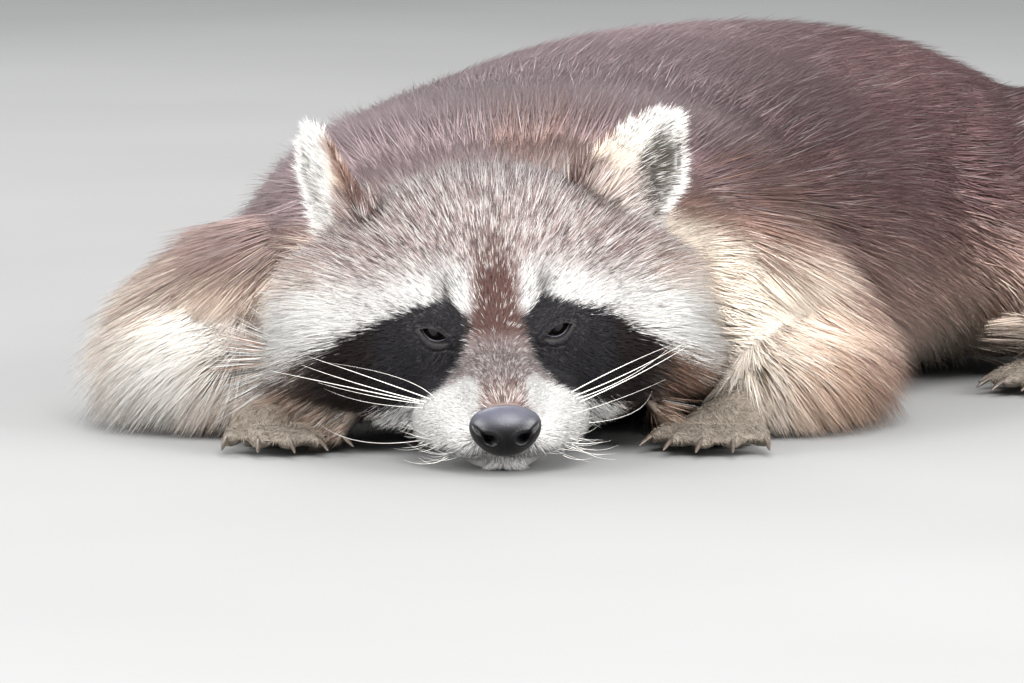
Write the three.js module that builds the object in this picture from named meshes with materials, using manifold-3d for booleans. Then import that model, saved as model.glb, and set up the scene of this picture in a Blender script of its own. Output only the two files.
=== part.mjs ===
// A life-size raccoon lying flat on its belly with its chin on the ground.
// Millimetres, +Z up, ground at Z = 0. The face looks along -Y and the trunk runs back and to +X.
// Every solid is the outer surface of the coat. Left and right are the animal's own: its left is +X.
import * as THREE from 'three';
import { mergeVertices } from 'three/addons/utils/BufferGeometryUtils.js';
import Module from 'manifold-3d';

const wasm = await Module();
wasm.setup();

const vec = (x, y, z) => new THREE.Vector3(x, y, z);
const rad = THREE.MathUtils.degToRad;

// ---- Driving dimensions ----
const GAP = 0.35; // between neighbouring solids
const FAR = 1500; // larger than the whole animal
const EYE_HEIGHT = 49; // midpoint between the eyes, over the ground
const HEAD_PITCH = 12; // degrees, nose down
const HEAD_YAW = 3; // degrees, nose towards +X
const HEAD_ROLL = 2; // degrees, left side up
const EYE_SPACING = 46.5;
const EYE_RADIUS = 7.6;
const EYE_DEPTH = 7.2; // of the eyeball's centre behind the lids
const ORBIT = { ahead: -8, radii: [11, 10.5, 6.5] }; // the hollow in front of each eye
const NOSE = { at: vec(0, -62, -18.6), radii: vec(13, 8.5, 10), flare: 0.12 };
const NOSTRIL = { out: 0.52, down: 0.1, width: 0.26, height: 0.28, depth: 2.6 };
const EAR = { length: 58, width: 42, thickness: 6, cup: 10, hollow: 2.4, widest: 0.3, taper: 1.15, sunk: 0.24 };
const CLAW = { length: 11, radius: 1.8, hook: 4 };
const FLOOR_SINK = 6; // how far round forms would reach under the ground, which flattens them

const COLOUR = {
  forehead: 0x8a7f7c,
  pale: 0xd9cfc2,
  back: 0x5b4a49,
  flank: 0x86705f,
  sleeve: 0xb9a996,
  paw: 0x8d867f,
  tail: 0x6a5a50,
  nose: 0x25252b,
  eye: 0x120d0b,
  claw: 0x3a332d,
};

// ---- Solids ----
function solidOf(geometry, matrix = new THREE.Matrix4()) {
  const bare = geometry.clone().applyMatrix4(matrix);
  bare.deleteAttribute('normal');
  bare.deleteAttribute('uv');
  const merged = mergeVertices(bare, 1e-4);
  return new wasm.Manifold(
    new wasm.Mesh({
      numProp: 3,
      vertProperties: merged.attributes.position.array,
      triVerts: new Uint32Array(merged.index.array),
    }),
  );
}

const raccoon = new THREE.Group();

// A cut can leave a sliver beside the body that it cuts: the node is the largest body.
function addNode(name, solid, colour, roughness = 0.9) {
  const body = solid.decompose().sort((a, b) => b.volume() - a.volume())[0];
  const made = body.getMesh();
  const geometry = new THREE.BufferGeometry();
  geometry.setAttribute('position', new THREE.BufferAttribute(new Float32Array(made.vertProperties), 3));
  geometry.setIndex(new THREE.BufferAttribute(new Uint32Array(made.triVerts), 1));
  geometry.computeVertexNormals();
  const material = new THREE.MeshStandardMaterial({ color: colour, roughness, metalness: 0 });
  const mesh = new THREE.Mesh(geometry, material);
  mesh.name = name;
  raccoon.add(mesh);
}

// The half of space on the side of a plane that its normal points to.
function beyond(point, normal) {
  const unit = normal.clone().normalize();
  const turn = new THREE.Quaternion().setFromUnitVectors(vec(0, 0, 1), unit);
  const centre = point.clone().addScaledVector(unit, FAR / 2);
  return solidOf(new THREE.BoxGeometry(FAR, FAR, FAR), new THREE.Matrix4().compose(centre, turn, vec(1, 1, 1)));
}

// Parts a solid at a plane, with the gap between: [the piece that the normal points to, the other piece].
function parted(solid, point, normal) {
  const half = normal.clone().setLength(GAP / 2);
  const ahead = solid.intersect(beyond(point.clone().add(half), normal));
  const behind = solid.intersect(beyond(point.clone().sub(half), normal.clone().negate()));
  return [ahead, behind];
}

const aboveGround = beyond(vec(0, 0, 0), vec(0, 0, 1));

const onGround = (solid) => solid.intersect(aboveGround);

function without(solid, ...others) {
  return others.reduce((rest, other) => rest.subtract(other), solid);
}

// ---- Lofts: a sphere's rows moved to stations along a smooth curve ----
// A station is [point, half width, height above the point, depth below it]; one radius serves for all three.
function loft(stations, { columns, rows, square = 2, cap = 0.14, grow = 0 }) {
  const centres = new THREE.CatmullRomCurve3(stations.map(([point]) => point));
  const sizes = new THREE.CatmullRomCurve3(
    stations.map(([, side, above = side, below = side]) => vec(side + grow, above + grow, below + grow)),
  );
  const geometry = new THREE.SphereGeometry(1, columns, rows);
  const position = geometry.attributes.position;
  for (let i = 0; i < position.count; i++) {
    const t = Math.acos(THREE.MathUtils.clamp(position.getY(i), -1, 1)) / Math.PI;
    const round = Math.sqrt(Math.max(0, 1 - Math.max(0, 1 - Math.min(t, 1 - t) / cap) ** 2));
    const angle = Math.atan2(position.getZ(i), position.getX(i));
    const corner = Math.abs(Math.cos(angle)) ** square + Math.abs(Math.sin(angle)) ** square;
    const reach = round / corner ** (1 / square);
    const forward = centres.getTangent(t);
    const side = vec(0, 0, 1).cross(forward).normalize();
    const up = forward.clone().cross(side);
    const size = sizes.getPoint(t);
    const rise = Math.sin(angle) * reach * (Math.sin(angle) > 0 ? size.y : size.z);
    const end = (t < 0.5 ? -grow : grow) * (1 - round);
    const point = centres.getPoint(t).addScaledVector(forward, end);
    point.addScaledVector(side, Math.cos(angle) * reach * size.x).addScaledVector(up, rise);
    position.setXYZ(i, point.x, point.y, point.z);
  }
  return solidOf(geometry);
}

// ---- The head's own frame: +Y to the back of the skull, +Z to the crown, origin between the eyes ----
const headMatrix = new THREE.Matrix4()
  .makeTranslation(0, 0, EYE_HEIGHT)
  .multiply(new THREE.Matrix4().makeRotationZ(rad(HEAD_YAW)))
  .multiply(new THREE.Matrix4().makeRotationX(rad(HEAD_PITCH)))
  .multiply(new THREE.Matrix4().makeRotationY(rad(-HEAD_ROLL)));

const inHead = (point) => headMatrix.clone().multiply(new THREE.Matrix4().makeTranslation(point));

// ---- Head: a sphere wrapped over the masses of the face and skull, blended where they meet ----
function blended(a, b, blend) {
  const h = Math.max(blend - Math.abs(a - b), 0) / blend;
  return Math.min(a, b) - h * h * blend * 0.25;
}

const blendAll = (masses, blend) => (p) => masses.reduce((sum, mass) => blended(sum, mass(p), blend), FAR);

// The signed distance, near enough, from an ellipsoid.
function mass(centre, radii) {
  return (p) => {
    const q = p.clone().sub(centre).divide(radii);
    const slope = q.clone().divide(radii).length();
    return slope < 1e-9 ? -radii.y : (q.length() * (q.length() - 1)) / slope;
  };
}

const onBothSides = (centre, radii) =>
  [1, -1].map((side) => mass(vec(side * centre.x, centre.y, centre.z), radii));

const skull = blendAll(
  [
    mass(vec(0, 58, 10), vec(60, 52, 42)), // crown
    mass(vec(0, 24, 2), vec(44, 30, 21)), // forehead
    ...onBothSides(vec(20, 16, 3), vec(21, 15, 13)), // brows
    ...onBothSides(vec(42, 34, -12), vec(38, 34, 30)), // cheeks
    ...onBothSides(vec(52, 50, -10), vec(36, 28, 38)), // ruffs
    ...onBothSides(vec(30, 26, -28), vec(28, 30, 20)), // jowls
  ],
  18,
);
const muzzle = blendAll(
  [
    mass(vec(0, -24, -13), vec(15, 42, 12)), // bridge
    ...onBothSides(vec(11, -44, -26), vec(13, 15, 10)), // lips under the nose
    ...onBothSides(vec(17, -24, -27), vec(17, 24, 14)), // whisker pads
  ],
  9,
);
const chin = mass(vec(0, -16, -38), vec(19, 34, 9));

function headField(p) {
  return blended(blended(skull(p), muzzle(p), 14), chin(p), 4);
}

const HEAD_AXIS = new THREE.LineCurve3(vec(0, -40, -22), vec(0, 54, -2));
const HEAD_NET = { columns: 28, rows: 20, reach: 150, step: 3, halvings: 12 };

function headSolid(grow) {
  const geometry = new THREE.SphereGeometry(1, HEAD_NET.columns, HEAD_NET.rows).rotateX(-Math.PI / 2);
  const position = geometry.attributes.position;
  for (let i = 0; i < position.count; i++) {
    const ray = vec(position.getX(i), position.getY(i), position.getZ(i));
    const along = Math.acos(THREE.MathUtils.clamp(-ray.y, -1, 1)) / Math.PI;
    const root = HEAD_AXIS.getPoint(along);
    const isOutside = (reach) => headField(root.clone().addScaledVector(ray, reach)) > grow;
    let inside = HEAD_NET.reach;
    while (inside > 0 && isOutside(inside)) inside -= HEAD_NET.step;
    let outside = inside + HEAD_NET.step;
    for (let halving = 0; halving < HEAD_NET.halvings; halving++) {
      const middle = (inside + outside) / 2;
      if (isOutside(middle)) outside = middle;
      else inside = middle;
    }
    root.addScaledVector(ray, inside);
    position.setXYZ(i, root.x, root.y, root.z);
  }
  return solidOf(geometry, headMatrix);
}

// ---- Nose pad: wider above, with two comma nostrils pressed in ----
function noseSolid(grow) {
  const geometry = new THREE.SphereGeometry(1, 14, 10).rotateX(-Math.PI / 2);
  const position = geometry.attributes.position;
  for (let i = 0; i < position.count; i++) {
    const p = vec(position.getX(i), position.getY(i), position.getZ(i));
    const across = (Math.abs(p.x) - NOSTRIL.out) / NOSTRIL.width;
    const upward = (p.z + NOSTRIL.down) / NOSTRIL.height;
    const facing = grow ? 0 : Math.sqrt(Math.max(0, -p.y));
    const dent = NOSTRIL.depth * facing * Math.exp(-across * across - upward * upward);
    const wide = 1 + NOSE.flare * p.z;
    const radii = NOSE.radii.clone().addScalar(grow);
    position.setXYZ(i, p.x * wide * radii.x, p.y * radii.y + dent, p.z * radii.z);
  }
  return solidOf(geometry, inHead(NOSE.at));
}

// ---- Eyes, and the hollows of the face in front of them ----
function eyeSolid(side, grow) {
  const centre = vec((side * EYE_SPACING) / 2, EYE_DEPTH, 0);
  return solidOf(new THREE.SphereGeometry(EYE_RADIUS + grow, 12, 8), inHead(centre));
}

function orbitSolid(side) {
  const centre = vec((side * EYE_SPACING) / 2, ORBIT.ahead, 0);
  return solidOf(new THREE.SphereGeometry(1, 10, 7).scale(...ORBIT.radii), inHead(centre));
}

// ---- Ears: a leaf that is hollow in front and round at the back ----
// Each ear's root in the head's frame, then its lean outwards, the turn of its hollow and its tilt to the back.
const EARS = {
  ear_left: { at: vec(50, 67, 27), lean: 36, turn: 12, back: 6 },
  ear_right: { at: vec(-60, 66, 27), lean: -12, turn: -58, back: 4 },
};

function earSolid({ at, lean, turn, back }) {
  const geometry = new THREE.SphereGeometry(1, 14, 9).rotateX(-Math.PI / 2);
  const position = geometry.attributes.position;
  for (let i = 0; i < position.count; i++) {
    const across = position.getX(i);
    const out = position.getY(i); // -1 in front, +1 at the back
    const rise = (position.getZ(i) + 1) / 2; // 0 at the root, 1 at the tip
    const halfWidth = (EAR.width / 2) * Math.cos((rise - EAR.widest) * EAR.taper);
    const cupped = EAR.cup * (1 - across * across) * (1.1 - 0.6 * rise);
    const hollow = out < 0 ? EAR.hollow * out * out : 0;
    const depth = cupped + (out * EAR.thickness) / 2 + hollow;
    position.setXYZ(i, across * halfWidth, depth, (rise - EAR.sunk) * EAR.length);
  }
  const turned = new THREE.Matrix4()
    .makeRotationY(rad(lean))
    .multiply(new THREE.Matrix4().makeRotationX(rad(-back)))
    .multiply(new THREE.Matrix4().makeRotationZ(rad(turn)));
  return solidOf(geometry, inHead(at).multiply(turned));
}

// ---- Trunk: [x, y, half width, crown of the back] from the withers to the root of the tail ----
const TRUNK = [
  [0, 114, 80, 96],
  [2, 162, 112, 124],
  [24, 224, 130, 135],
  [66, 286, 134, 148],
  [116, 346, 128, 150],
  [168, 402, 110, 131],
  [210, 446, 78, 98],
  [236, 476, 48, 68],
];
const WIDEST_LEVEL = 0.36; // of the back's height

function trunkStation([x, y, halfWidth, crown]) {
  const level = crown * WIDEST_LEVEL;
  return [vec(x, y, level), halfWidth, crown - level, level + FLOOR_SINK];
}

const TRUNK_NET = { columns: 24, rows: 18, square: 2.3, cap: 0.1 };

const trunkSolid = (grow) => loft(TRUNK.map(trunkStation), { ...TRUNK_NET, grow });

// ---- Neck, from inside the skull to between the shoulders ----
const NECK = [
  [vec(2, 50, 56), 54, 40, 50],
  [vec(4, 88, 54), 76, 50, 56],
  [vec(10, 130, 52), 92, 58, 60],
  [vec(20, 170, 50), 84, 54, 54],
];

const neckSolid = (grow) => loft(NECK, { columns: 14, rows: 8, grow });

// ---- Limbs: stations from the body outwards, each [point, radius of the coat] ----
// A place beside the hips: outwards from the spine, backwards along it and up, for the left (1) or right (-1).
const HIPS = { at: vec(130, 355, 0), back: vec(0.6, 0.8, 0), left: vec(0.8, -0.6, 0) };

function byHips(side, outwards, backwards, up) {
  return HIPS.at
    .clone()
    .addScaledVector(HIPS.left, side * outwards)
    .addScaledVector(HIPS.back, backwards)
    .add(vec(0, 0, up));
}

const HEADING_OF_HIPS = -Math.atan2(HIPS.back.x, HIPS.back.y);

const FORELEGS = {
  left: {
    stations: [
      [vec(58, 160, 60), 48],
      [vec(98, 144, 47), 41],
      [vec(120, 124, 30), 35],
      [vec(114, 98, 24), 28],
      [vec(100, 74, 18), 21],
      [vec(92, 54, 14), 15],
    ],
    elbow: { at: vec(118, 112, 0), normal: vec(-0.1, -1, 0) },
    wrist: { at: vec(98, 70, 0), normal: vec(-0.4, -0.9, 0) },
    paw: { at: vec(94, 66, 0), heading: rad(-14) },
  },
  right: {
    stations: [
      [vec(-54, 160, 58), 48],
      [vec(-94, 144, 47), 40],
      [vec(-122, 122, 30), 36],
      [vec(-114, 96, 24), 28],
      [vec(-98, 72, 18), 21],
      [vec(-90, 54, 14), 15],
    ],
    elbow: { at: vec(-118, 110, 0), normal: vec(0.1, -1, 0) },
    wrist: { at: vec(-96, 69, 0), normal: vec(0.4, -0.9, 0) },
    paw: { at: vec(-92, 66, 0), heading: rad(12) },
  },
};

function hindLeg(side) {
  return {
    thigh: [
      [byHips(side, 56, 74, 60), 54],
      [byHips(side, 78, 32, 60), 66],
      [byHips(side, 98, -12, 50), 56],
      [byHips(side, 104, -44, 40), 38],
    ],
    shin: [
      [byHips(side, 122, -24, 36), 28],
      [byHips(side, 144, 10, 29), 28],
      [byHips(side, 152, 48, 21), 22],
    ],
    paw: { at: byHips(side, 155, 30, 0), heading: HEADING_OF_HIPS - side * rad(4) },
  };
}

const HIND_LEGS = { left: hindLeg(1), right: hindLeg(-1) };

const FORELEG_NET = { columns: 11, rows: 12 };
const THIGH_NET = { columns: 12, rows: 8, cap: 0.3 };
const SHIN_NET = { columns: 10, rows: 6, cap: 0.25 };

// ---- Paws: a sole with five toes and their claws ----
// A paw's own -Y runs from the wrist or ankle to the toes.
const FOREPAW = { sole: 40, width: 34, height: 19, toe: 26, toeRadius: 5.4, spread: 46, toes: 5 };
const HIND_PAW = { sole: 74, width: 36, height: 20, toe: 24, toeRadius: 5.6, spread: 30, toes: 5 };

// From the wrist to the ball of the foot, as shares of the paw's own size.
function pawStations({ sole, width, height }) {
  const level = height * 0.4;
  return [
    [vec(0, 12, level + 3), width * 0.36, height * 0.8, level + FLOOR_SINK],
    [vec(0, -sole * 0.3, level), width * 0.44, height * 0.64, level + FLOOR_SINK],
    [vec(0, -sole * 0.75, level), width * 0.5, height * 0.52, level + FLOOR_SINK],
    [vec(0, -sole, level), width * 0.4, height * 0.4, level + FLOOR_SINK],
  ];
}

// The places of the toes in the paw's frame: the middle one leads and the outer ones set off further back.
function toePlaces({ sole, width, toe, spread, toes }) {
  return Array.from({ length: toes }, (_, i) => {
    const side = i / (toes - 1) - 0.5;
    const root = vec(side * width * 0.8, -sole * (1 - 0.8 * side * side), 0);
    const turn = rad(side * spread);
    return { root, ahead: vec(Math.sin(turn), -Math.cos(turn), 0), length: toe * (1 - 0.7 * side * side) };
  });
}

// A toe arches up from its root and comes down on its pad.
function toeStations({ root, ahead, length }, radius) {
  const at = (along, up) => root.clone().addScaledVector(ahead, along * length).add(vec(0, 0, up * radius));
  return [
    [at(-0.3, 1.1), radius],
    [at(0.35, 1.5), radius * 0.95],
    [at(0.8, 0.95), radius * 0.95],
    [at(1, 0.8), radius * 0.7],
  ];
}

// A claw leaves the end of its toe and hooks down.
function clawStations({ root, ahead, length }, radius) {
  const at = (along, drop) =>
    root.clone().addScaledVector(ahead, length + along * CLAW.length).add(vec(0, 0, radius * 1.15 - drop));
  return [
    [at(0, 0), CLAW.radius],
    [at(0.45, CLAW.hook * 0.25), CLAW.radius * 0.8],
    [at(1, CLAW.hook), CLAW.radius * 0.3],
  ];
}

// Moves stations from a paw's own frame to where the paw lies.
function placed(stations, { at, heading }) {
  const frame = new THREE.Matrix4().makeTranslation(at).multiply(new THREE.Matrix4().makeRotationZ(heading));
  return stations.map(([point, ...sizes]) => [point.clone().applyMatrix4(frame), ...sizes]);
}

function pawSolid(shape, paw, grow) {
  const sole = loft(placed(pawStations(shape), paw), { columns: 8, rows: 5, cap: 0.2, grow });
  return toePlaces(shape).reduce((sum, toe) => {
    const stations = placed(toeStations(toe, shape.toeRadius), paw);
    return sum.add(loft(stations, { columns: 5, rows: 4, cap: 0.26, grow }));
  }, sole);
}

function addClaws(name, shape, paw) {
  const flesh = pawSolid(shape, paw, GAP);
  toePlaces(shape).forEach((toe, i) => {
    const claw = loft(placed(clawStations(toe, shape.toeRadius), paw), { columns: 4, rows: 4, cap: 0.2 });
    addNode(`${name}_claw_${i + 1}`, onGround(claw).subtract(flesh), COLOUR.claw, 0.4);
  });
}

// ---- Tail: a brush on the ground that curls round behind the rump ----
const TAIL = [
  [vec(214, 446, 46), 26],
  [vec(246, 494, 34), 30],
  [vec(261, 546, 30), 35],
  [vec(252, 602, 29), 36],
  [vec(216, 646, 28), 33],
  [vec(170, 668, 20), 20],
];
const TAIL_CUTS = [0.4, 0.68];

const tailSolid = () => loft(TAIL, { columns: 10, rows: 14, cap: 0.12 });

// ---- Assembly: the trunk and the head keep their forms, and the rest is cut to meet them ----
const headGrown = headSolid(GAP);
const neckGrown = neckSolid(GAP);
const trunkGrown = trunkSolid(GAP);
const WAIST = { at: vec(84, 288, 0), normal: vec(0.55, 0.83, 0) };
const JAW_BLOCK = { at: vec(0, -18, -48.5), size: vec(44, 66, 30) };

const limbSolids = {};
const clawJobs = [];

function addForeleg(side, { stations, elbow, wrist, paw }) {
  const name = `fore_${side}`;
  const whole = onGround(without(loft(stations, FORELEG_NET), trunkGrown, neckGrown));
  const [lower, upper] = parted(whole, elbow.at, elbow.normal);
  const [, forearm] = parted(lower, wrist.at, wrist.normal);
  addNode(`upper_${name}leg`, upper, COLOUR.sleeve);
  const grownLimb = loft(stations, { ...FORELEG_NET, grow: GAP });
  const [, grownArm] = parted(grownLimb, wrist.at, wrist.normal);
  addNode(`lower_${name}leg`, forearm, COLOUR.sleeve);
  addNode(`${name}_paw`, onGround(pawSolid(FOREPAW, paw, 0)).subtract(grownArm), COLOUR.paw);
  clawJobs.push([`${name}_paw`, FOREPAW, paw]);
  limbSolids[name] = grownLimb.add(pawSolid(FOREPAW, paw, GAP));
}

function addHindLeg(side, { thigh, shin, paw }) {
  const name = `hind_${side}`;
  const grownThigh = loft(thigh, { ...THIGH_NET, grow: GAP });
  const grownShin = loft(shin, { ...SHIN_NET, grow: GAP });
  addNode(`upper_${name}leg`, onGround(without(loft(thigh, THIGH_NET), trunkGrown)), COLOUR.flank);
  addNode(`lower_${name}leg`, onGround(without(loft(shin, SHIN_NET), trunkGrown, grownThigh)), COLOUR.flank);
  const foot = without(pawSolid(HIND_PAW, paw, 0), trunkGrown, grownThigh, grownShin);
  addNode(`${name}_paw`, onGround(foot), COLOUR.paw);
  clawJobs.push([`${name}_paw`, HIND_PAW, paw]);
}

function addHead() {
  const sockets = [1, -1].map((side) => eyeSolid(side, GAP).add(orbitSolid(side)));
  const limbs = Object.values(limbSolids);
  const head = onGround(without(headSolid(0), noseSolid(GAP), ...sockets, ...limbs));
  const jawBlock = (grow) => {
    const { x, y, z } = JAW_BLOCK.size;
    return solidOf(new THREE.BoxGeometry(x + grow, y + grow, z + grow), inHead(JAW_BLOCK.at));
  };
  addNode('head', head.subtract(jawBlock(2 * GAP)), COLOUR.forehead);
  addNode('lower_jaw', head.intersect(jawBlock(0)), COLOUR.pale);
  addNode('nose', noseSolid(0), COLOUR.nose, 0.35);
  addNode('eye_left', eyeSolid(1, 0), COLOUR.eye, 0.08);
  addNode('eye_right', eyeSolid(-1, 0), COLOUR.eye, 0.08);
  for (const [name, ear] of Object.entries(EARS)) {
    addNode(name, without(earSolid(ear), headGrown, neckGrown), COLOUR.pale);
  }
}

function addTrunk() {
  const trunk = onGround(without(trunkSolid(0), headGrown));
  const [abdomen, chest] = parted(trunk, WAIST.at, WAIST.normal);
  addNode('chest', chest, COLOUR.back);
  addNode('abdomen', abdomen, COLOUR.back);
  addNode('neck', onGround(without(neckSolid(0), trunkGrown, headGrown)), COLOUR.forehead);
}

function addTail() {
  const curve = new THREE.CatmullRomCurve3(TAIL.map(([point]) => point));
  const [first, second] = TAIL_CUTS.map((t) => [curve.getPoint(t), curve.getTangent(t)]);
  const whole = onGround(without(tailSolid(), trunkGrown));
  const [rest, root] = parted(whole, ...first);
  const [tip, middle] = parted(rest, ...second);
  addNode('tail_root', root, COLOUR.tail);
  addNode('tail_middle', middle, COLOUR.tail);
  addNode('tail_tip', tip, COLOUR.tail);
}

addForeleg('left', FORELEGS.left);
addForeleg('right', FORELEGS.right);
addHindLeg('left', HIND_LEGS.left);
addHindLeg('right', HIND_LEGS.right);
addHead();
addTrunk();
addTail();
clawJobs.forEach((job) => addClaws(...job));

// The origin is on the ground under the middle of the animal.
const middle = new THREE.Box3().setFromObject(raccoon).getCenter(vec(0, 0, 0));
raccoon.position.set(-middle.x, -middle.y, 0);

export default raccoon;
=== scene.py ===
import bpy
import numpy as np
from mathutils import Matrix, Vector
from mathutils.bvhtree import BVHTree
from mathutils.kdtree import KDTree


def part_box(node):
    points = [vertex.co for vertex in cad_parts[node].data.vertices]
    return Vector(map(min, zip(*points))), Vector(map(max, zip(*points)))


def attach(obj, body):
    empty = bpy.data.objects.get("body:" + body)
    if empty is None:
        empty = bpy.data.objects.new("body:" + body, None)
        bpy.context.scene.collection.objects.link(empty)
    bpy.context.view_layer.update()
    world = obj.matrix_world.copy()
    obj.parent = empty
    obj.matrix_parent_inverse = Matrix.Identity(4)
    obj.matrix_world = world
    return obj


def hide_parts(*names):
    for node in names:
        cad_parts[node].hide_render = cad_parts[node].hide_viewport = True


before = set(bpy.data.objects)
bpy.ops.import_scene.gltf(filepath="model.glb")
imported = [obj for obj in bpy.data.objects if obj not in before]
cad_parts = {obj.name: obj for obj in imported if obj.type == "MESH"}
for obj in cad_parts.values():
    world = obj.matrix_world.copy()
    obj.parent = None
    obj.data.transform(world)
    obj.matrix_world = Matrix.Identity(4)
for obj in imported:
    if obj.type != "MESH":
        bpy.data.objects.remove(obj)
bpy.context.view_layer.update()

mm = 0.001
mergeReach = 0.01 * mm  # joins the loose triangles of a copied node
up = np.array([0.0, 0.0, 1.0])


def deselectAll():
    bpy.ops.object.select_all(action="DESELECT")


def takeHold(piece):
    deselectAll()
    piece.select_set(True)
    bpy.context.view_layer.objects.active = piece


def editAll(piece, operator, **settings):  # an operator of edit mode over the whole of a piece
    takeHold(piece)
    bpy.ops.object.mode_set(mode="EDIT")
    bpy.ops.mesh.select_all(action="SELECT")
    operator(**settings)
    bpy.ops.object.mode_set(mode="OBJECT")


def applyModifier(piece, kind, **settings):
    modifier = piece.modifiers.new(kind.title(), kind)
    for key, value in settings.items():
        setattr(modifier, key, value)
    takeHold(piece)
    bpy.ops.object.modifier_apply(modifier=modifier.name)


def pointsOf(mesh):
    flat = np.empty(len(mesh.vertices) * 3)
    mesh.vertices.foreach_get("co", flat)
    return flat.reshape(-1, 3)


def setPoints(mesh, points):
    mesh.vertices.foreach_set("co", np.ascontiguousarray(points, np.float32).ravel())
    mesh.update()


def normalsOf(mesh):
    flat = np.empty(len(mesh.vertices) * 3)
    mesh.vertices.foreach_get("normal", flat)
    return flat.reshape(-1, 3)


def smoothFaces(mesh):
    mesh.polygons.foreach_set("use_smooth", np.ones(len(mesh.polygons), bool))


def unit(vectors):
    length = np.linalg.norm(vectors, axis=-1, keepdims=True)
    return vectors / np.maximum(length, 1e-9)


def dot(a, b):
    return np.sum(a * b, axis=-1)


def step(low, high, value):  # 0 below low, 1 above high and smooth between them; low may be the larger
    t = np.clip((value - low) / (high - low), 0, 1)
    return t * t * (3 - 2 * t)


def bump(centre, width, value):
    return np.exp(-((value - centre) / width) ** 2)


def follow(curve, value):  # a curve's height at each value, from its corners
    return np.interp(value, *np.array(curve).T)


def linear(red, green, blue):  # a display colour of 0 to 255 as light
    share = np.array([red, green, blue]) / 255
    return np.where(share < 0.04045, share / 12.92, ((share + 0.055) / 1.055) ** 2.4)


def carry(mesh, name, values):  # a value for each point of a mesh
    layer = mesh.attributes.new(name, "FLOAT", "POINT")
    layer.data.foreach_set("value", values.astype(np.float32))


def paint(mesh, name, colours):  # colours for each point of a mesh
    layer = mesh.color_attributes.new(name, "FLOAT_COLOR", "POINT")
    full = np.ones((len(colours), 4), np.float32)
    full[:, :3] = colours
    layer.data.foreach_set("color", full.ravel())


def newMesh(name, points, faces):
    mesh = bpy.data.meshes.new(name)
    mesh.from_pydata(points.tolist() if hasattr(points, "tolist") else points, [], faces)
    piece = bpy.data.objects.new(name, mesh)
    bpy.context.scene.collection.objects.link(piece)
    smoothFaces(mesh)
    return piece


def finishPiece(piece, slot, material, *nodes):
    piece.data.materials.clear()
    piece.data.materials.append(material)
    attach(piece, "root")
    if nodes:
        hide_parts(*nodes)


class Wire:  # a socket that takes part in plain sums
    def __init__(self, tree, socket=None):
        self.tree = tree
        self.socket = socket

    def node(self, kind, settings=None, inputs=None, out=0):
        made = self.tree.nodes.new(kind)
        for key, value in (settings or {}).items():
            if key == "stops":
                self.setStops(made.color_ramp, value)
            else:
                setattr(made, key, value)
        for key, value in (inputs or {}).items():
            target = made.inputs[key]
            if isinstance(value, Wire):
                self.tree.links.new(value.socket, target)
            else:
                target.default_value = value
        return Wire(self.tree, made.outputs[out])

    @staticmethod
    def setStops(ramp, stops):
        while len(ramp.elements) < len(stops):
            ramp.elements.new(1.0)
        for element, (place, colour) in zip(ramp.elements, stops):
            element.position = place
            element.color = (*colour, 1.0)

    def sum(self, operation, a, b):
        return self.node("ShaderNodeMath", {"operation": operation}, {0: a, 1: b})

    def __add__(self, other):
        return self.sum("ADD", self, other)

    __radd__ = __add__

    def __sub__(self, other):
        return self.sum("SUBTRACT", self, other)

    def __rsub__(self, other):
        return self.sum("SUBTRACT", other, self)

    def __mul__(self, other):
        return self.sum("MULTIPLY", self, other)

    __rmul__ = __mul__

    def mixed(self, amount, other, blend="MIX"):  # this colour towards another
        settings = {"data_type": "RGBA", "blend_type": blend, "clamp_factor": True}
        return self.node("ShaderNodeMix", settings, {0: amount, 6: self, 7: other}, 2)

    def scaled(self, factors):  # this vector times three numbers
        return self.node("ShaderNodeVectorMath", {"operation": "MULTIPLY"}, {0: self, 1: factors})

    def ramp(self, stops):
        return self.node("ShaderNodeValToRGB", {"stops": stops}, {"Fac": self})

    def noise(self, scale, detail=2.0, out=0):  # a pattern over this vector
        inputs = {"Vector": self, "Scale": scale, "Detail": detail}
        return self.node("ShaderNodeTexNoise", None, inputs, out)

    def bumped(self, distance, strength=1.0):
        inputs = {"Height": self, "Distance": distance, "Strength": strength}
        return self.node("ShaderNodeBump", None, inputs)


def newMaterial(name, **fixed):  # a Principled material with its fixed values, and a Wire to build on
    material = bpy.data.materials.new(name)
    material.use_nodes = True
    shader = material.node_tree.nodes["Principled BSDF"]
    for key, value in fixed.items():
        shader.inputs[key.replace("_", " ")].default_value = value
    return material, shader, Wire(material.node_tree)


def feed(shader, **wires):
    for key, wire in wires.items():
        wire.tree.links.new(wire.socket, shader.inputs[key.replace("_", " ")])


headPlan = {"pitch": 12, "yaw": 3, "roll": 2, "eyeDepth": 7.2, "eyeRadius": 7.6, "eyeOut": 23.25}


def turned(degrees, axis):
    c, s = np.cos(np.radians(degrees)), np.sin(np.radians(degrees))
    first, second = [(1, 2), (2, 0), (0, 1)][axis]
    matrix = np.eye(3)
    matrix[first, first] = matrix[second, second] = c
    matrix[first, second], matrix[second, first] = -s, s
    return matrix


def middleOf(node):
    low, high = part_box(node)
    return np.array((low + high) / 2) / mm


headTurn = turned(headPlan["yaw"], 2) @ turned(headPlan["pitch"], 0) @ turned(-headPlan["roll"], 1)
betweenEyes = (middleOf("eye_left") + middleOf("eye_right")) / 2
headPlace = betweenEyes - headTurn @ [0, headPlan["eyeDepth"], 0]
bodyPlace = np.array([headPlace[0], headPlace[1], 0.0])


def toHead(points):  # +X to the animal's left, +Y to the back of the skull, +Z to the crown
    return (points / mm - headPlace) @ headTurn


def fromHead(points):
    return (points @ headTurn.T + headPlace) * mm


def levelOf(local):  # height on the head as seen from in front
    return 0.951 * local[:, 2] + 0.309 * local[:, 1]


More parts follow.
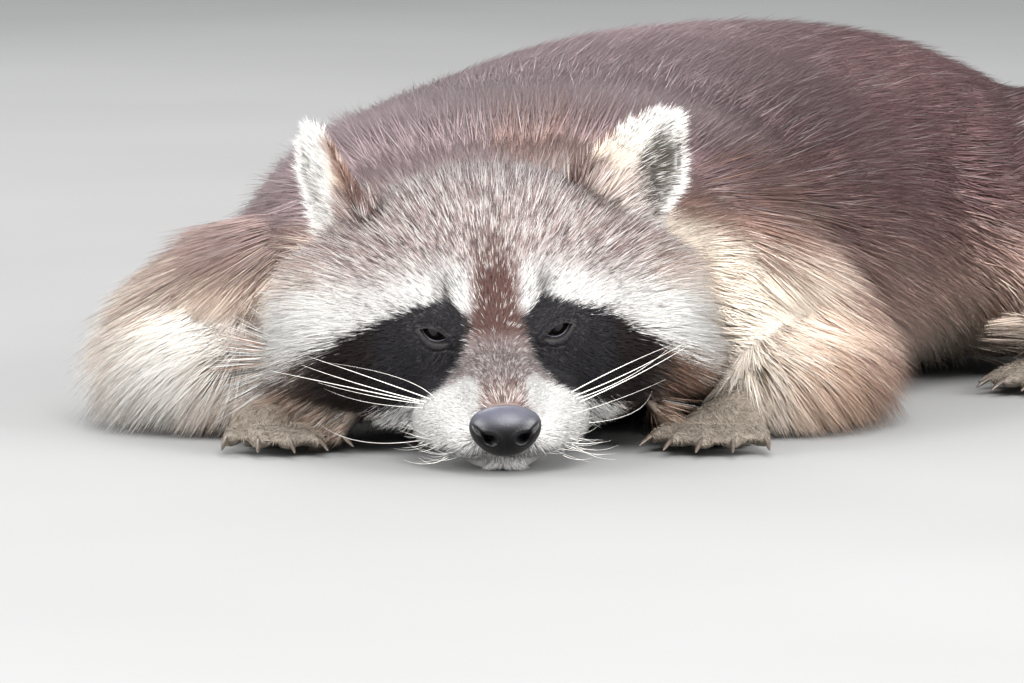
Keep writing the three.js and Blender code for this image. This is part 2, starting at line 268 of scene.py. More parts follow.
def toBody(points):
    return points / mm - bodyPlace


cameraPlan = {
    "distance": 2800,
    "lookDown": 6,
    "lens": 259,
    "aimAside": 6.1,  # from between the eyes to the middle of the view
    "aimBelow": 4.0,
}


def makeCamera():
    away = np.radians(cameraPlan["lookDown"])
    forward = np.array([0, np.cos(away), -np.sin(away)])
    above = np.array([0, np.sin(away), np.cos(away)])
    aim = headPlace + [cameraPlan["aimAside"], 0, 0] - above * cameraPlan["aimBelow"]
    data = bpy.data.cameras.new("view")
    data.lens = cameraPlan["lens"]
    data.clip_end = 100
    camera = bpy.data.objects.new("view", data)
    camera.location = Vector((aim - forward * cameraPlan["distance"]) * mm)
    camera.rotation_euler = (np.pi / 2 - away, 0, 0)
    bpy.context.scene.collection.objects.link(camera)
    bpy.context.scene.camera = camera


lightPlan = {
    "sky": 1.18,
    "key": {"at": (0.25, -1.9, 2.0), "size": 1.7, "power": 97},
    "fillRight": {"at": (1.9, -1.1, 0.8), "size": 1.6, "power": 92},
    "fillLeft": {"at": (-1.9, -1.1, 0.8), "size": 1.6, "power": 80},
    "rim": {"at": (-0.6, 1.8, 1.7), "size": 1.4, "power": 40},
}


def makeLights():
    world = bpy.data.worlds.new("sky")
    bpy.context.scene.world = world
    world.use_nodes = True
    background = world.node_tree.nodes["Background"]
    background.inputs["Color"].default_value = (0.97, 0.985, 1.0, 1)
    background.inputs["Strength"].default_value = lightPlan["sky"]
    target = Vector(headPlace * mm)
    for name in ("key", "fillRight", "fillLeft", "rim"):
        plan = lightPlan[name]
        data = bpy.data.lights.new(name, "AREA")
        data.shape = "DISK"
        data.size = plan["size"]
        data.energy = plan["power"]
        lamp = bpy.data.objects.new(name, data)
        lamp.location = Vector(plan["at"])
        lamp.rotation_euler = (target - lamp.location).to_track_quat("-Z", "Y").to_euler()
        bpy.context.scene.collection.objects.link(lamp)


def makeFloor():
    deselectAll()
    bpy.ops.mesh.primitive_plane_add(size=40, location=(0, 0, 0))
    floor = bpy.context.active_object
    floor.name = "floor"
    material, shader, wire = newMaterial("paleFloor", Roughness=0.9)
    place = wire.node("ShaderNodeTexCoord", out=3)
    shade = place.noise(3.0).ramp([(0.3, (0.185, 0.185, 0.182)), (0.7, (0.20, 0.20, 0.197))])
    feed(shader, Base_Color=shade)
    floor.data.materials.append(material)


bpy.context.scene.view_settings.view_transform = "Standard"
makeCamera()
makeLights()
makeFloor()
print("camera, lights and floor are set")


nosePlan = {
    "at": np.array([0, -62, -18.6]),
    "radii": np.array([13.4, 8.8, 10.2]),
    "flare": 0.14,  # how much wider it is above than below
    "pocketAt": np.array([0, -69, -18.6]),  # the hollow in the skin that the leather sits in
    "pocketRadii": np.array([12.0, 7.5, 9.2]),
    "holeAcross": (0.47, 0.14),  # a nostril's place and width as shares of the radii
    "holeUp": (-0.16, 0.15),
    "hole": 0.62,  # how far each form goes in, or out where it is below 0
    "slit": 0.28,
    "wing": -0.07,
    "groove": 0.07,
    "deep": 8,
}


def pair(centre, radii):  # a mass on each side of the head
    x, y, z = centre
    return [(centre, radii), ((-x, y, z), radii)]


masses = {  # centre and radii of the outer coat's masses, in the head's own place
    "skull": [
        ((0, 58, 10), (60, 52, 42)),
        ((0, 24, 2), (44, 30, 21)),
        *pair((20, 16, 3), (21, 15, 13)),  # the brows
        *pair((42, 34, -12), (38, 34, 30)),  # the cheeks
        *pair((52, 50, -10), (36, 28, 38)),  # the ruff
        *pair((30, 26, -28), (28, 30, 20)),  # the jaw
    ],
    "muzzle": [
        ((0, -24, -13), (15, 42, 12)),
        *pair((11, -44, -26), (13, 15, 10)),
        *pair((17, -24, -27), (17, 24, 14)),
    ],
    "chin": [((0, -16, -38), (19, 34, 9))],
}
blends = {"skull": 18, "muzzle": 9, "chin": 4, "muzzleToSkull": 14, "chinToFace": 4, "lids": 3}
faceMiddle = np.array([0, -20, -8])  # the coat grows deeper with the distance from here
coatDepth = [(30, 1.3), (42, 2.2), (56, 4.0), (72, 7.5), (100, 12.5), (120, 15)]
lipPlan = {"level": -34.5, "width": 1.1, "fall": 0.05, "depth": 1.6}


def ellipsoid(points, centre, radii):
    q = (points - centre) / radii
    reach = np.linalg.norm(q, axis=1)
    slope = np.linalg.norm(q / radii, axis=1)
    return reach * (reach - 1) / np.maximum(slope, 1e-9)


def blended(a, b, width):
    near = np.maximum(width - np.abs(a - b), 0) / width
    return np.minimum(a, b) - near * near * width * 0.25


def blendAll(points, forms, width):
    total = np.full(len(points), 1e3)
    for centre, radii in forms:
        total = blended(total, ellipsoid(points, np.array(centre), np.array(radii)), width)
    return total


def coatField(points):  # the distance outside the coat's outer surface
    skull, muzzle, chin = (blendAll(points, forms, blends[name]) for name, forms in masses.items())
    return blended(blended(skull, muzzle, blends["muzzleToSkull"]), chin, blends["chinToFace"])


def fromFace(local):
    return np.linalg.norm(local - faceMiddle, axis=1)


eyePlan = {
    "lid": 1.3,  # the lids' thickness over the eyeball
    "inner": np.array([-5.6, -2.4]),  # the corners, outwards from the nose and up
    "outer": np.array([5.5, 2.4]),
    "rise": 2.1,  # the upper lid over the line between the corners
    "skew": 0.35,  # how much its highest point lies outwards
    "sag": 3.0,  # the lower lid below that line
    "rim": 0.42,
    "fold": 0.45,  # the crease that runs round the lids
    "foldAt": -2.7,
    "behind": 6.0,  # how far the skin goes in where the eye is open
    "cornea": 0.55,
    "rimOut": 0.55,  # the lid's rim, from the eyeball
    "rimSteps": 72,
    "rimSides": 8,
}


def eyeCentre(side):
    return np.array([side * headPlan["eyeOut"], headPlan["eyeDepth"], 0.0])


def lidHeights(along):  # the upper and the lower lid, along from -1 to 1 between the corners
    full = 1 - along ** 2
    return eyePlan["rise"] * full * (1 + eyePlan["skew"] * along), -eyePlan["sag"] * full


def eyeOpening(count):  # the outline of the open eye, inner corner first, over the top
    inner, outer = eyePlan["inner"], eyePlan["outer"]
    chord = (outer - inner) / 2
    across = unit(np.array([-chord[1], chord[0]]))
    turn = np.linspace(0, 2 * np.pi, count, endpoint=False)
    along = -np.cos(turn)
    height = np.where(turn < np.pi, *lidHeights(along))
    return (inner + outer) / 2 + along[:, None] * chord + height[:, None] * across


def openness(u, v):  # how far inside the open eye, with u outwards from the nose and v up
    inner, outer = eyePlan["inner"], eyePlan["outer"]
    middle, chord = (inner + outer) / 2, (outer - inner) / 2
    length = np.linalg.norm(chord)
    along = ((u - middle[0]) * chord[0] + (v - middle[1]) * chord[1]) / length ** 2
    height = ((v - middle[1]) * chord[0] - (u - middle[0]) * chord[1]) / length
    upper, lower = lidHeights(np.clip(along, -1, 1))
    inside = np.minimum(upper - height, height - lower)
    beyond = np.maximum(np.abs(along) - 1, 0) * length
    return np.where(beyond > 0, -np.hypot(beyond, height), inside)


def skinField(points):  # the distance outside the skin of the head, lids and lips included
    field = coatField(points) + follow(coatDepth, fromFace(points))
    for side in (-1, 1):
        q = points - eyeCentre(side)
        lids = np.linalg.norm(q, axis=1) - headPlan["eyeRadius"] - eyePlan["lid"]
        field = blended(field, lids, blends["lids"])
    pocket = ellipsoid(points, nosePlan["pocketAt"], nosePlan["pocketRadii"])
    field = np.maximum(field, -pocket)
    level = points[:, 2] + lipPlan["fall"] * points[:, 1]
    lip = bump(lipPlan["level"], lipPlan["width"], level) * step(4, -12, points[:, 1])
    return field + lipPlan["depth"] * lip


hips = {"x": 130, "y": 355, "along": 0.8, "aside": 0.6}  # their middle, and their turn's cosine and sine


def besideHips(side, outwards, backwards, height):
    x = hips["x"] + hips["along"] * side * outwards + hips["aside"] * backwards
    y = hips["y"] - hips["aside"] * side * outwards + hips["along"] * backwards
    return (x, y, height)


spine = np.array([
    (0, 60, 80), (0, 114, 96), (2, 162, 124), (24, 224, 135), (66, 286, 148),
    (116, 346, 150), (168, 402, 131), (210, 446, 98), (236, 476, 68),
], float)
tailPlan = {"rings": 6.0, "start": 0.35, "darkTip": (0.88, 0.94)}  # as shares of its length
tailPath = np.array([
    (214, 446, 46), (246, 494, 34), (261, 546, 30), (252, 602, 29), (216, 646, 28), (170, 668, 20),
], float)
forePaths = {
    1: np.array([
        (58, 160, 60), (98, 144, 47), (120, 124, 30), (114, 98, 24), (92, 54, 14), (102, 10, 8),
    ], float),
    -1: np.array([
        (-54, 160, 58), (-94, 144, 47), (-122, 122, 30), (-114, 96, 24), (-90, 54, 14), (-100, 10, 8),
    ], float),
}
hindPlaces = [(56, 74, 60), (98, -12, 50), (122, -24, 36), (144, 10, 29), (155, 30, 12), (150, -70, 6)]
hindPaths = {side: np.array([besideHips(side, *place) for place in hindPlaces]) for side in (1, -1)}


def alongPath(points, path):  # the nearest stretch's direction, the share of the way and the distance
    best = np.full(len(points), 1e9)
    heading = np.zeros((len(points), 3))
    share = np.zeros(len(points))
    lengths = np.linalg.norm(np.diff(path, axis=0), axis=1)
    before = np.concatenate([[0], np.cumsum(lengths)])
    for i, length in enumerate(lengths):
        way = (path[i + 1] - path[i]) / length
        t = np.clip((points - path[i]) @ way, 0, length)
        away = np.linalg.norm(points - path[i] - t[:, None] * way, axis=1)
        nearer = away < best
        best[nearer] = away[nearer]
        heading[nearer] = way
        share[nearer] = (before[i] + t[nearer]) / before[-1]
    return heading, share, best


skinPlan = {
    "voxel": 3.2 * mm,
    "neighbours": 14,  # rounds that blend one region's coat into the next
    "looseness": 8,  # rounds of smoothing over the joined forms
    "withers": 60,  # rounds over the top of the shoulders, where the neck goes in
    "withersAt": (0, 112, 92),
    "withersReach": (90, 46, 50),
    "depth": {"neck": 8, "trunk": 6.5, "tail": 10, "foreleg": 7.5, "hindleg": 7, "paw": 1.2},  # of the coat
    "evenness": 6,  # rounds over the directions in which the skin goes in
    "finish": 4,  # rounds over the body after that
    "ears": 5,
    "pulls": 7,  # rounds that draw the head's skin onto its form
    "reach": 4,  # how far a round may draw it
    "floor": 0.8,  # the lowest that the skin comes
}
groups = ["head", "ear", "neck", "trunk", "foreleg", "hindleg", "paw", "tail"]
groupWords = {  # what in a node's name tells its region, the first that fits
    "ear_": "ear", "claw": "claw", "paw": "paw", "fore_": "foreleg", "hind_": "hindleg",
    "tail": "tail", "neck": "neck", "chest": "trunk", "abdomen": "trunk",
}


def groupOf(node):
    return next((group for word, group in groupWords.items() if word in node), "head")


hardNodes = ["nose", "eye_left", "eye_right"]
fleshNodes = [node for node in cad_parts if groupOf(node) != "claw" and node not in hardNodes]


def joinedCopies(nodes, others=()):  # copies of the named nodes and the other pieces, as one piece
    deselectAll()
    for other in others:
        other.select_set(True)
    for node in nodes:
        copy = bpy.data.objects.new("copy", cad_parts[node].data.copy())
        bpy.context.scene.collection.objects.link(copy)
        copy.select_set(True)
        bpy.context.view_layer.objects.active = copy
    bpy.ops.object.join()
    return bpy.context.active_object


def keepLargest(piece):  # drops the inner shells that the voxels leave
    editAll(piece, bpy.ops.mesh.separate, type="LOOSE")
    parts = sorted(bpy.context.selected_objects, key=lambda part: len(part.data.vertices))
    for part in parts[:-1]:
        bpy.data.objects.remove(part)
    return parts[-1]


def refine(piece, isFine):  # cuts each face that isFine picks into four
    mesh = piece.data
    inside = isFine(pointsOf(mesh))
    starts = np.array([polygon.vertices[0] for polygon in mesh.polygons])
    takeHold(piece)
    bpy.ops.object.mode_set(mode="EDIT")
    bpy.ops.mesh.select_mode(type="FACE")
    bpy.ops.mesh.select_all(action="DESELECT")
    bpy.ops.object.mode_set(mode="OBJECT")
    mesh.polygons.foreach_set("select", inside[starts])
    bpy.ops.object.mode_set(mode="EDIT")
    bpy.ops.mesh.subdivide(number_cuts=1, quadcorner="INNERVERT")
    bpy.ops.object.mode_set(mode="OBJECT")


def edgesOf(mesh):
    flat = np.empty(len(mesh.edges) * 2, np.int32)
    mesh.edges.foreach_get("vertices", flat)
    return flat.reshape(-1, 2)


def relax(values, edges, rounds):  # each value becomes the mean of itself and its neighbours
    values = values.copy()
    count = np.bincount(edges.ravel(), minlength=len(values))[:, None]
    for _ in range(rounds):
        total = np.zeros_like(values)
        for column in range(values.shape[1]):
            total[:, column] = np.bincount(edges[:, 0], values[edges[:, 1], column], len(values))
            total[:, column] += np.bincount(edges[:, 1], values[edges[:, 0], column], len(values))
        values = (values + total) / (count + 1)
    return values


def nearestGroups(points):  # the region of the node that each point lies nearest to
    places, owners = [], []
    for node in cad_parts:
        group = groupOf(node)
        if group == "claw":
            continue
        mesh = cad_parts[node].data
        centres = np.empty(len(mesh.polygons) * 3)
        mesh.polygons.foreach_get("center", centres)
        places.append(centres.reshape(-1, 3))
        owners += [groups.index(group)] * len(mesh.polygons)
    places = np.concatenate(places)
    tree = KDTree(len(places))
    for i, place in enumerate(places):
        tree.insert(place, i)
    tree.balance()
    nearest = np.array([tree.find(point)[1] for point in points])
    return np.array(owners)[nearest]


earPlan = {
    "length": 58,
    "width": 42,
    "cup": 10,  # the depth of the hollow
    "widest": 0.3,  # the share of the height
    "taper": 1.15,
    "sunk": 0.24,  # the share of the length inside the head
    "thick": 10,  # as the voxels take it
    "thin": 0.32,  # the share of that which is left
    1: {"at": np.array([50, 67, 27]), "lean": 36, "turn": 12, "back": 6, "narrow": 0.93, "lower": 0.97},
    -1: {"at": np.array([-60, 66, 27]), "lean": -16, "turn": -58, "back": 4, "narrow": 0.86, "lower": 0.85},
}


def earTurn(side):
    plan = earPlan[side]
    return turned(plan["lean"], 1) @ turned(-plan["back"], 0) @ turned(plan["turn"], 2)


def toEar(local, side):  # from the head's place to an ear's own: X across, Y to its back and Z to its tip
    return (local - earPlan[side]["at"]) @ earTurn(side)


def fromEar(points, side):
    return points @ earTurn(side).T + earPlan[side]["at"]


def earLeaf(rise):  # the half width, the point at the tip and the depth of the cup
    half = earPlan["width"] / 2 * np.cos((rise - earPlan["widest"]) * earPlan["taper"])
    point = np.sqrt(np.clip(1 - (2 * np.maximum(rise, 0.5) - 1) ** 2, 0, 1))
    return half, point, earPlan["cup"] * (1.1 - 0.6 * rise)


def earShares(own, side):  # across from -1 to 1 at the rim, rise from 0 to 1 and the leaf's middle in Y
    plan = earPlan[side]
    rise = np.clip((own[:, 2] / earPlan["length"] + earPlan["sunk"]) / plan["lower"], 0, 1)
    half, point, cup = earLeaf(rise)
    rim = np.maximum(half * point * plan["narrow"], 2)
    middle = cup * (1 - np.minimum((own[:, 0] / half) ** 2, 1))
    return np.clip(own[:, 0] / rim, -1.3, 1.3), rise, middle


def eachEar(local):  # an ear's side, the points on its half of the head and their shares
    for side in (-1, 1):
        chosen = local[:, 0] * side > 0
        yield side, chosen, *earShares(toEar(local[chosen], side), side)[:2]


def makeLeaf(side):  # a thick leaf that the skin grows over and is then pressed thin
    deselectAll()
    bpy.ops.mesh.primitive_uv_sphere_add(segments=32, ring_count=24)
    leaf = bpy.context.active_object
    a, b, c = pointsOf(leaf.data).T
    ring = np.maximum(np.hypot(a, b), 1e-6)
    isPole = np.hypot(a, b) < 1e-4
    rise = (c + 1) / 2
    half, point, cup = earLeaf(rise)
    x = np.where(isPole, 0, a / ring) * half * point * earPlan[side]["narrow"]
    y = cup * (1 - (x / half) ** 2) + np.where(isPole, 0, b / ring) * point * earPlan["thick"] / 2
    z = (rise * earPlan[side]["lower"] - earPlan["sunk"]) * earPlan["length"]
    setPoints(leaf.data, fromHead(fromEar(np.stack([x, y, z], axis=1), side)))
    return leaf


toePlan = {"radii": [4.3, 9.5, 4.2], "behind": 10, "raised": 1.0, "lowest": 4.6, "clawRoot": 4}


def clawWay(points, node):  # a claw's middle and the way it points
    middle = points.mean(0)
    way = np.linalg.svd(points - middle, full_matrices=False)[2][0]
    paw = middleOf(node.split("_claw")[0]) * mm
    return middle, way * np.sign((middle - paw) @ way)


def makeToe(node):  # a round toe that ends over the root of its claw
    middle, way = clawWay(pointsOf(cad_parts[node].data), node)
    ahead = unit(way * [1, 1, 0])
    middle = middle / mm - ahead * toePlan["behind"]
    middle[2] = max(middle[2] + toePlan["raised"], toePlan["lowest"])
    deselectAll()
    bpy.ops.mesh.primitive_uv_sphere_add(segments=16, ring_count=12)
    toe = bpy.context.active_object
    points = pointsOf(toe.data) * toePlan["radii"] @ np.stack([np.cross(ahead, up), ahead, up])
    setPoints(toe.data, (points + middle) * mm)
    return toe


def earHollow(out, rise, side):  # the dark inside, towards the outer edge
    start = -0.05 if side > 0 else 0.40
    across = step(start - 0.16, start + 0.14, out + 0.3 * (rise - 0.5)) * step(0.86, 0.70, out)
    return across * step(0.92, 0.72, rise) * step(0.10, 0.30, rise)


def shapeBody(mesh, edges, share):  # smooths the joined forms and goes in by the depth of the coat
    points = pointsOf(mesh)
    body = share["neck"] + share["trunk"] + share["hindleg"] + share["tail"] + share["foreleg"]
    body = np.clip(body, 0, 1)
    eased = relax(points, edges, skinPlan["looseness"])
    points = points + (eased - points) * body[:, None]
    withers = (toBody(points) - skinPlan["withersAt"]) / skinPlan["withersReach"]
    withers = step(1.2, 0.6, np.linalg.norm(withers, axis=1))
    smooth = relax(points, edges, skinPlan["withers"])
    points = points + (smooth - points) * (withers * body)[:, None]
    setPoints(mesh, points)
    normals = relax(normalsOf(mesh), edges, skinPlan["evenness"])
    depth = sum(share[group] * deep for group, deep in skinPlan["depth"].items())
    points = points - unit(normals) * depth[:, None] * mm
    return points + (relax(points, edges, skinPlan["finish"]) - points) * body[:, None]


def drawOntoHead(local, amount):  # draws the skin's points onto the form of the head
    moved = local.copy()
    for _ in range(skinPlan["pulls"]):
        field = skinField(moved)
        slope = np.stack([
            skinField(moved + offset) - skinField(moved - offset) for offset in np.eye(3) * 0.4
        ], axis=1)
        moved -= unit(slope) * np.clip(field, -skinPlan["reach"], skinPlan["reach"])[:, None]
    return local + (moved - local) * amount[:, None]


def thinEar(local, side, amount):
    own = toEar(local, side)
    middle = earShares(own, side)[2]
    slim = own.copy()
    slim[:, 1] = middle + (own[:, 1] - middle) * earPlan["thin"]
    return local + (fromEar(slim, side) - local) * (amount * (local[:, 0] * side > 0))[:, None]


def openEye(local, side):  # the skin goes in behind the eyeball where the eye is open
    q = local - eyeCentre(side)
    inside = openness(q[:, 0] * side, q[:, 2])
    isFront = (q[:, 1] < 0) & (np.abs(q[:, 0]) < 9) & (np.abs(q[:, 2]) < 8)
    fold = eyePlan["fold"] * bump(eyePlan["foldAt"], 0.6, inside)
    local[:, 1] += np.where(isFront, eyePlan["behind"] * step(-0.15, 0.35, inside) + fold, 0)


def shapeSkin(skin):
    mesh = skin.data
    edges = edgesOf(mesh)
    owner = nearestGroups(pointsOf(mesh))
    weights = relax(np.eye(len(groups))[owner], edges, skinPlan["neighbours"])
    share = dict(zip(groups, weights.T))
    local = toHead(shapeBody(mesh, edges, share))

    isNose = np.linalg.norm((local - nosePlan["at"]) / nosePlan["radii"], axis=1) < 1.4
    clearance = coatField(local)
    isEar = owner == groups.index("ear")
    isHead = (owner == groups.index("head")) & ((clearance < 4) | isNose)
    onHead = np.maximum(isHead * step(0.25, 0.7, share["head"]), isEar * step(3.0, 0.8, clearance))
    local = drawOntoHead(local, onHead)
    eased = relax(local, edges, skinPlan["ears"])
    local = local + (eased - local) * step(0.15, 0.5, share["ear"])[:, None]
    onEar = isEar * step(0.3, 0.75, share["ear"]) * step(0.5, 3.0, clearance)
    for side in (-1, 1):
        local = thinEar(local, side, onEar)
    for side in (-1, 1):
        openEye(local, side)

    points = fromHead(local)
    points[:, 2] = np.maximum(points[:, 2], skinPlan["floor"] * mm)
    setPoints(mesh, points)
    return share


def makeSkin():
    added = [makeLeaf(side) for side in (-1, 1)]
    added += [makeToe(node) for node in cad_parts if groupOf(node) == "claw"]
    flesh = [node for node in fleshNodes if groupOf(node) != "ear"]
    skin = joinedCopies(flesh + hardNodes, added)
    editAll(skin, bpy.ops.mesh.remove_doubles, threshold=mergeReach)
    applyModifier(skin, "REMESH", mode="VOXEL", voxel_size=skinPlan["voxel"])
    skin = keepLargest(skin)
    skin.name = "skin"

    def isFace(points):
        local = toHead(points)
        return (coatField(local) < 2) & (local[:, 1] < 22) & (np.abs(local[:, 0]) < 46)

    def isNearEyes(points):
        local = toHead(points)
        near = [np.linalg.norm(local - eyeCentre(side) + [0, 8, 0], axis=1) < 13 for side in (-1, 1)]
        return near[0] | near[1]

    def isEar(points):
        local = toHead(points)
        near = [np.abs(toEar(local, side)) < [26, 22, 60] for side in (-1, 1)]
        return (near[0].all(1) | near[1].all(1)) & (coatField(local) > 1)

    refine(skin, isEar)
    refine(skin, isFace)
    refine(skin, isNearEyes)
    refine(skin, isNearEyes)
    print("skin:", len(skin.data.polygons), "faces")
    return skin, shapeSkin(skin)


skin, share = makeSkin()
smoothFaces(skin.data)
print("skin is shaped")


displayShades = {  # red, green and blue of 0 to 255
    "forehead": (174, 154, 150),
    "crown": (170, 152, 152),
    "white": (247, 244, 240),
    "pearl": (225, 223, 221),
    "cream": (250, 232, 215),
    "tan": (200, 160, 132),
    "charcoal": (36, 34, 38),
    "mask": (27, 17, 16),
    "stripe": (94, 66, 60),
    "bridge": (150, 136, 134),
    "rose": (156, 130, 122),
    "nape": (156, 137, 141),
    "back": (88, 66, 67),
    "backDark": (52, 36, 38),
    # the flank's own tan, painted lighter as painted light for the shade under the body
    "flankTanAndPaintedLight": (208, 176, 164),
    "rust": (160, 126, 110),
    # the jowls' own brown, painted lighter as painted light for the shade under the cheeks
    "jowlBrownAndPaintedLight": (160, 126, 106),
    "ruff": (176, 154, 148),
    "sleeve": (160, 138, 126),
    "paw": (156, 144, 130),
    "tail": (140, 118, 106),
    "tailDark": (38, 28, 26),
    "olive": (84, 76, 64),
    "lid": (30, 28, 32),
    # a painted highlight on the wet rim of the lower lid
    "lidPaintedHighlight": (150, 152, 165),
    "leather": (8, 7, 8),
    # a painted highlight, bluish, on the top of the nose
    "leatherPaintedHighlight": (82, 82, 94),
}
shades = {name: linear(*shade) for name, shade in displayShades.items()}


def towards(colour, name, amount):
    return colour + (shades[name] - colour) * np.clip(amount, 0, 1)[:, None]


maskTop = [  # how far out from the middle of the face, and the level there
    (0, 4), (8, 4), (11, 5), (14, 9), (17, 12), (20, 11), (28, 9.4), (36, 6.8), (42, 5),
    (48, 2.6), (56, -1), (64, -5), (76, -11), (84, -16),
]
maskFoot = [
    (0, -60), (6.6, -60), (7.4, -25), (8.8, -19), (12.4, -16), (16, -19), (20, -21), (26, -24.3),
    (36, -27), (47, -29), (52, -35), (60, -30), (68, -20), (78, -15), (84, -14),
]
maskSide = [  # a level, and how far out the mask starts there
    (-34, 24), (-20, 19.5), (-17, 17), (-12, 14), (-7, 11.5), (0, 9), (5, 8),
]


def headCoat(local):  # the colour, and how much of it is flecked with light and dark hair
    x, y = np.abs(local[:, 0]), local[:, 1]
    level = levelOf(local)
    out = x + 6 * step(40, 60, local[:, 0])  # the mask reaches less far on the animal's left
    top, foot = follow(maskTop, out), follow(maskFoot, out)
    colour = np.tile(shades["forehead"], (len(local), 1))
    fleck = np.full(len(local), 1.0)
    colour = towards(colour, "crown", step(34, 62, level))

    cream = step(54, 72, x) * step(34, 10, level)  # the sides of the head
    colour = towards(colour, "cream", cream)
    fleck *= 1 - 0.6 * cream
    streak = bump(70, 4, x + 0.3 * level) * step(30, 10, level) * 0.2
    streak += bump(58, 4, x) * bump(19, 6, level) * 0.35
    colour = towards(colour, "tan", streak)

    # the brows, which thicken outwards, and the pale points beside the stripe
    thicker = np.interp(x, [42, 66], [0, 9])
    brow = step(21, 6, level - top - thicker) * step(9, 13, x) * step(92, 78, x) * 0.95
    spike = bump(10.6 + 0.10 * (level - 5), 2.9, x) * step(4.5, 7, level) * step(30, 18, level)
    white = np.maximum(brow, np.clip(1.3 * spike, 0, 1))
    colour = towards(colour, "pearl", white)
    colour = towards(colour, "white", white * step(40, 62, x))
    fleck *= 1 - 0.62 * white

    # the stripe up the forehead, with a dark strip on each side of it above the eyes
    stripe = step(12.0 - 0.12 * level, 6.5 - 0.12 * level, x) * step(-12, -4, level) * step(48, 16, level)
    colour = towards(colour, "stripe", stripe * 0.95)
    fleck *= 1 - 0.8 * stripe
    fleck *= 1 - 0.7 * step(44, 62, x) * step(34, 10, level)
    strip = bump(17.5, 2.6, x) * step(26, 13, level) * step(4, 9, level)
    colour = towards(colour, "mask", strip * 0.9)

    side = follow(maskSide, level)
    bridge = step(side + 2, side - 2, x) * step(0, -7, level)
    colour = towards(colour, "bridge", bridge)
    fleck *= 1 - 0.15 * bridge

    # the mask, which ends in the jowls' brown, painted lighter as painted light in the shade under the
    # cheeks, and then in cream
    mask = step(0.9, -0.9, level - top) * step(-1.2, 1.2, level - foot) * step(side - 1.6, side + 2.2, x)
    mask *= step(74, 60, out + 0.25 * np.maximum(-12 - level, 0)) * step(70, 50, y)
    end = step(0.9, -0.9, level - top) * step(58, 66, out)
    colour = towards(colour, "jowlBrownAndPaintedLight", end)
    colour = towards(colour, "cream", end * step(72, 88, out))
    fleck *= 1 - 0.8 * end
    colour = towards(colour, "mask", mask)
    eye = np.hypot(x - 24, (level + 6) * 0.9)
    colour = towards(colour, "charcoal", mask * step(24, 15, eye))
    fleck *= 1 - mask

    below = step(0.9, -0.9, level - foot)  # the muzzle and the jowls
    muzzle = below * step(50, 43, x) * step(6.0, 8.5, x + np.maximum(-29 - level, 0))
    muzzle = np.maximum(muzzle, step(-30, -33, level) * step(50, 43, x))
    colour = towards(colour, "pearl", muzzle)
    rose = step(10, 6, x) * step(-15, -23, level) * step(-34, -30, level)
    colour = towards(colour, "rose", rose * (1 - muzzle) * 0.85)
    # painted light: the jowls' brown is painted lighter than the fur, for the shade under the cheeks
    jowlBrownAndPaintedLight = below * step(43, 50, x)
    colour = towards(colour, "jowlBrownAndPaintedLight", jowlBrownAndPaintedLight * step(86, 70, out))
    colour = towards(colour, "cream", jowlBrownAndPaintedLight * step(72, 88, out))
    fleck *= 1 - 0.9 * muzzle

    rear = y - 12 * step(56, 70, x)
    nape = step(70, 96, rear) * step(0, 30, level)
    colour = towards(colour, "ruff", nape)
    fleck *= 1 - 0.6 * nape
    return colour, fleck


def isEarFront(normals, side):  # 1 on the side that the ear's hollow is on
    return step(0.2, -0.2, (normals @ headTurn @ earTurn(side))[:, 1])


def earCoat(local, normals):
    colour = np.zeros((len(local), 3))
    fleck = np.full(len(local), 0.15)
    for side, chosen, across, rise in eachEar(local):
        out = across * side  # towards the ear's outer edge
        isFront = isEarFront(normals[chosen], side)
        hollow = isFront * earHollow(out, rise, side)
        mine = np.tile(shades["white"], (len(rise), 1))
        mine = towards(mine, "cream", isFront * step(0.2, -0.3, out) * step(0.80, 0.45, rise))
        mine = towards(mine, "olive", hollow * (0.9 if side > 0 else 0.06))
        if side < 0:  # this ear shows its brown inner edge
            edge = step(-0.25, -0.6, out + 0.15 * np.sin(30 * rise)) * step(0.95, 0.75, rise)
            mine = towards(mine, "rust", edge * 0.9)
        fleck[chosen] += 0.6 * hollow
        behind = (1 - isFront) * step(0.97, 0.80, rise)
        mine = towards(mine, "stripe", behind * step(0.85, 0.6, out))
        mine = towards(mine, "rust", behind * step(-0.5, -0.9, out) * 0.7)
        mine = towards(mine, "stripe", step(0.46, 0.34, rise) * step(-0.5, -0.8, out) * 0.9)
        colour[chosen] = mine
    return colour, fleck


shoulderEdge = [(98, 82), (110, 76), (120, 57), (131, 38), (144, 22), (160, 6)]  # where the pale hair ends


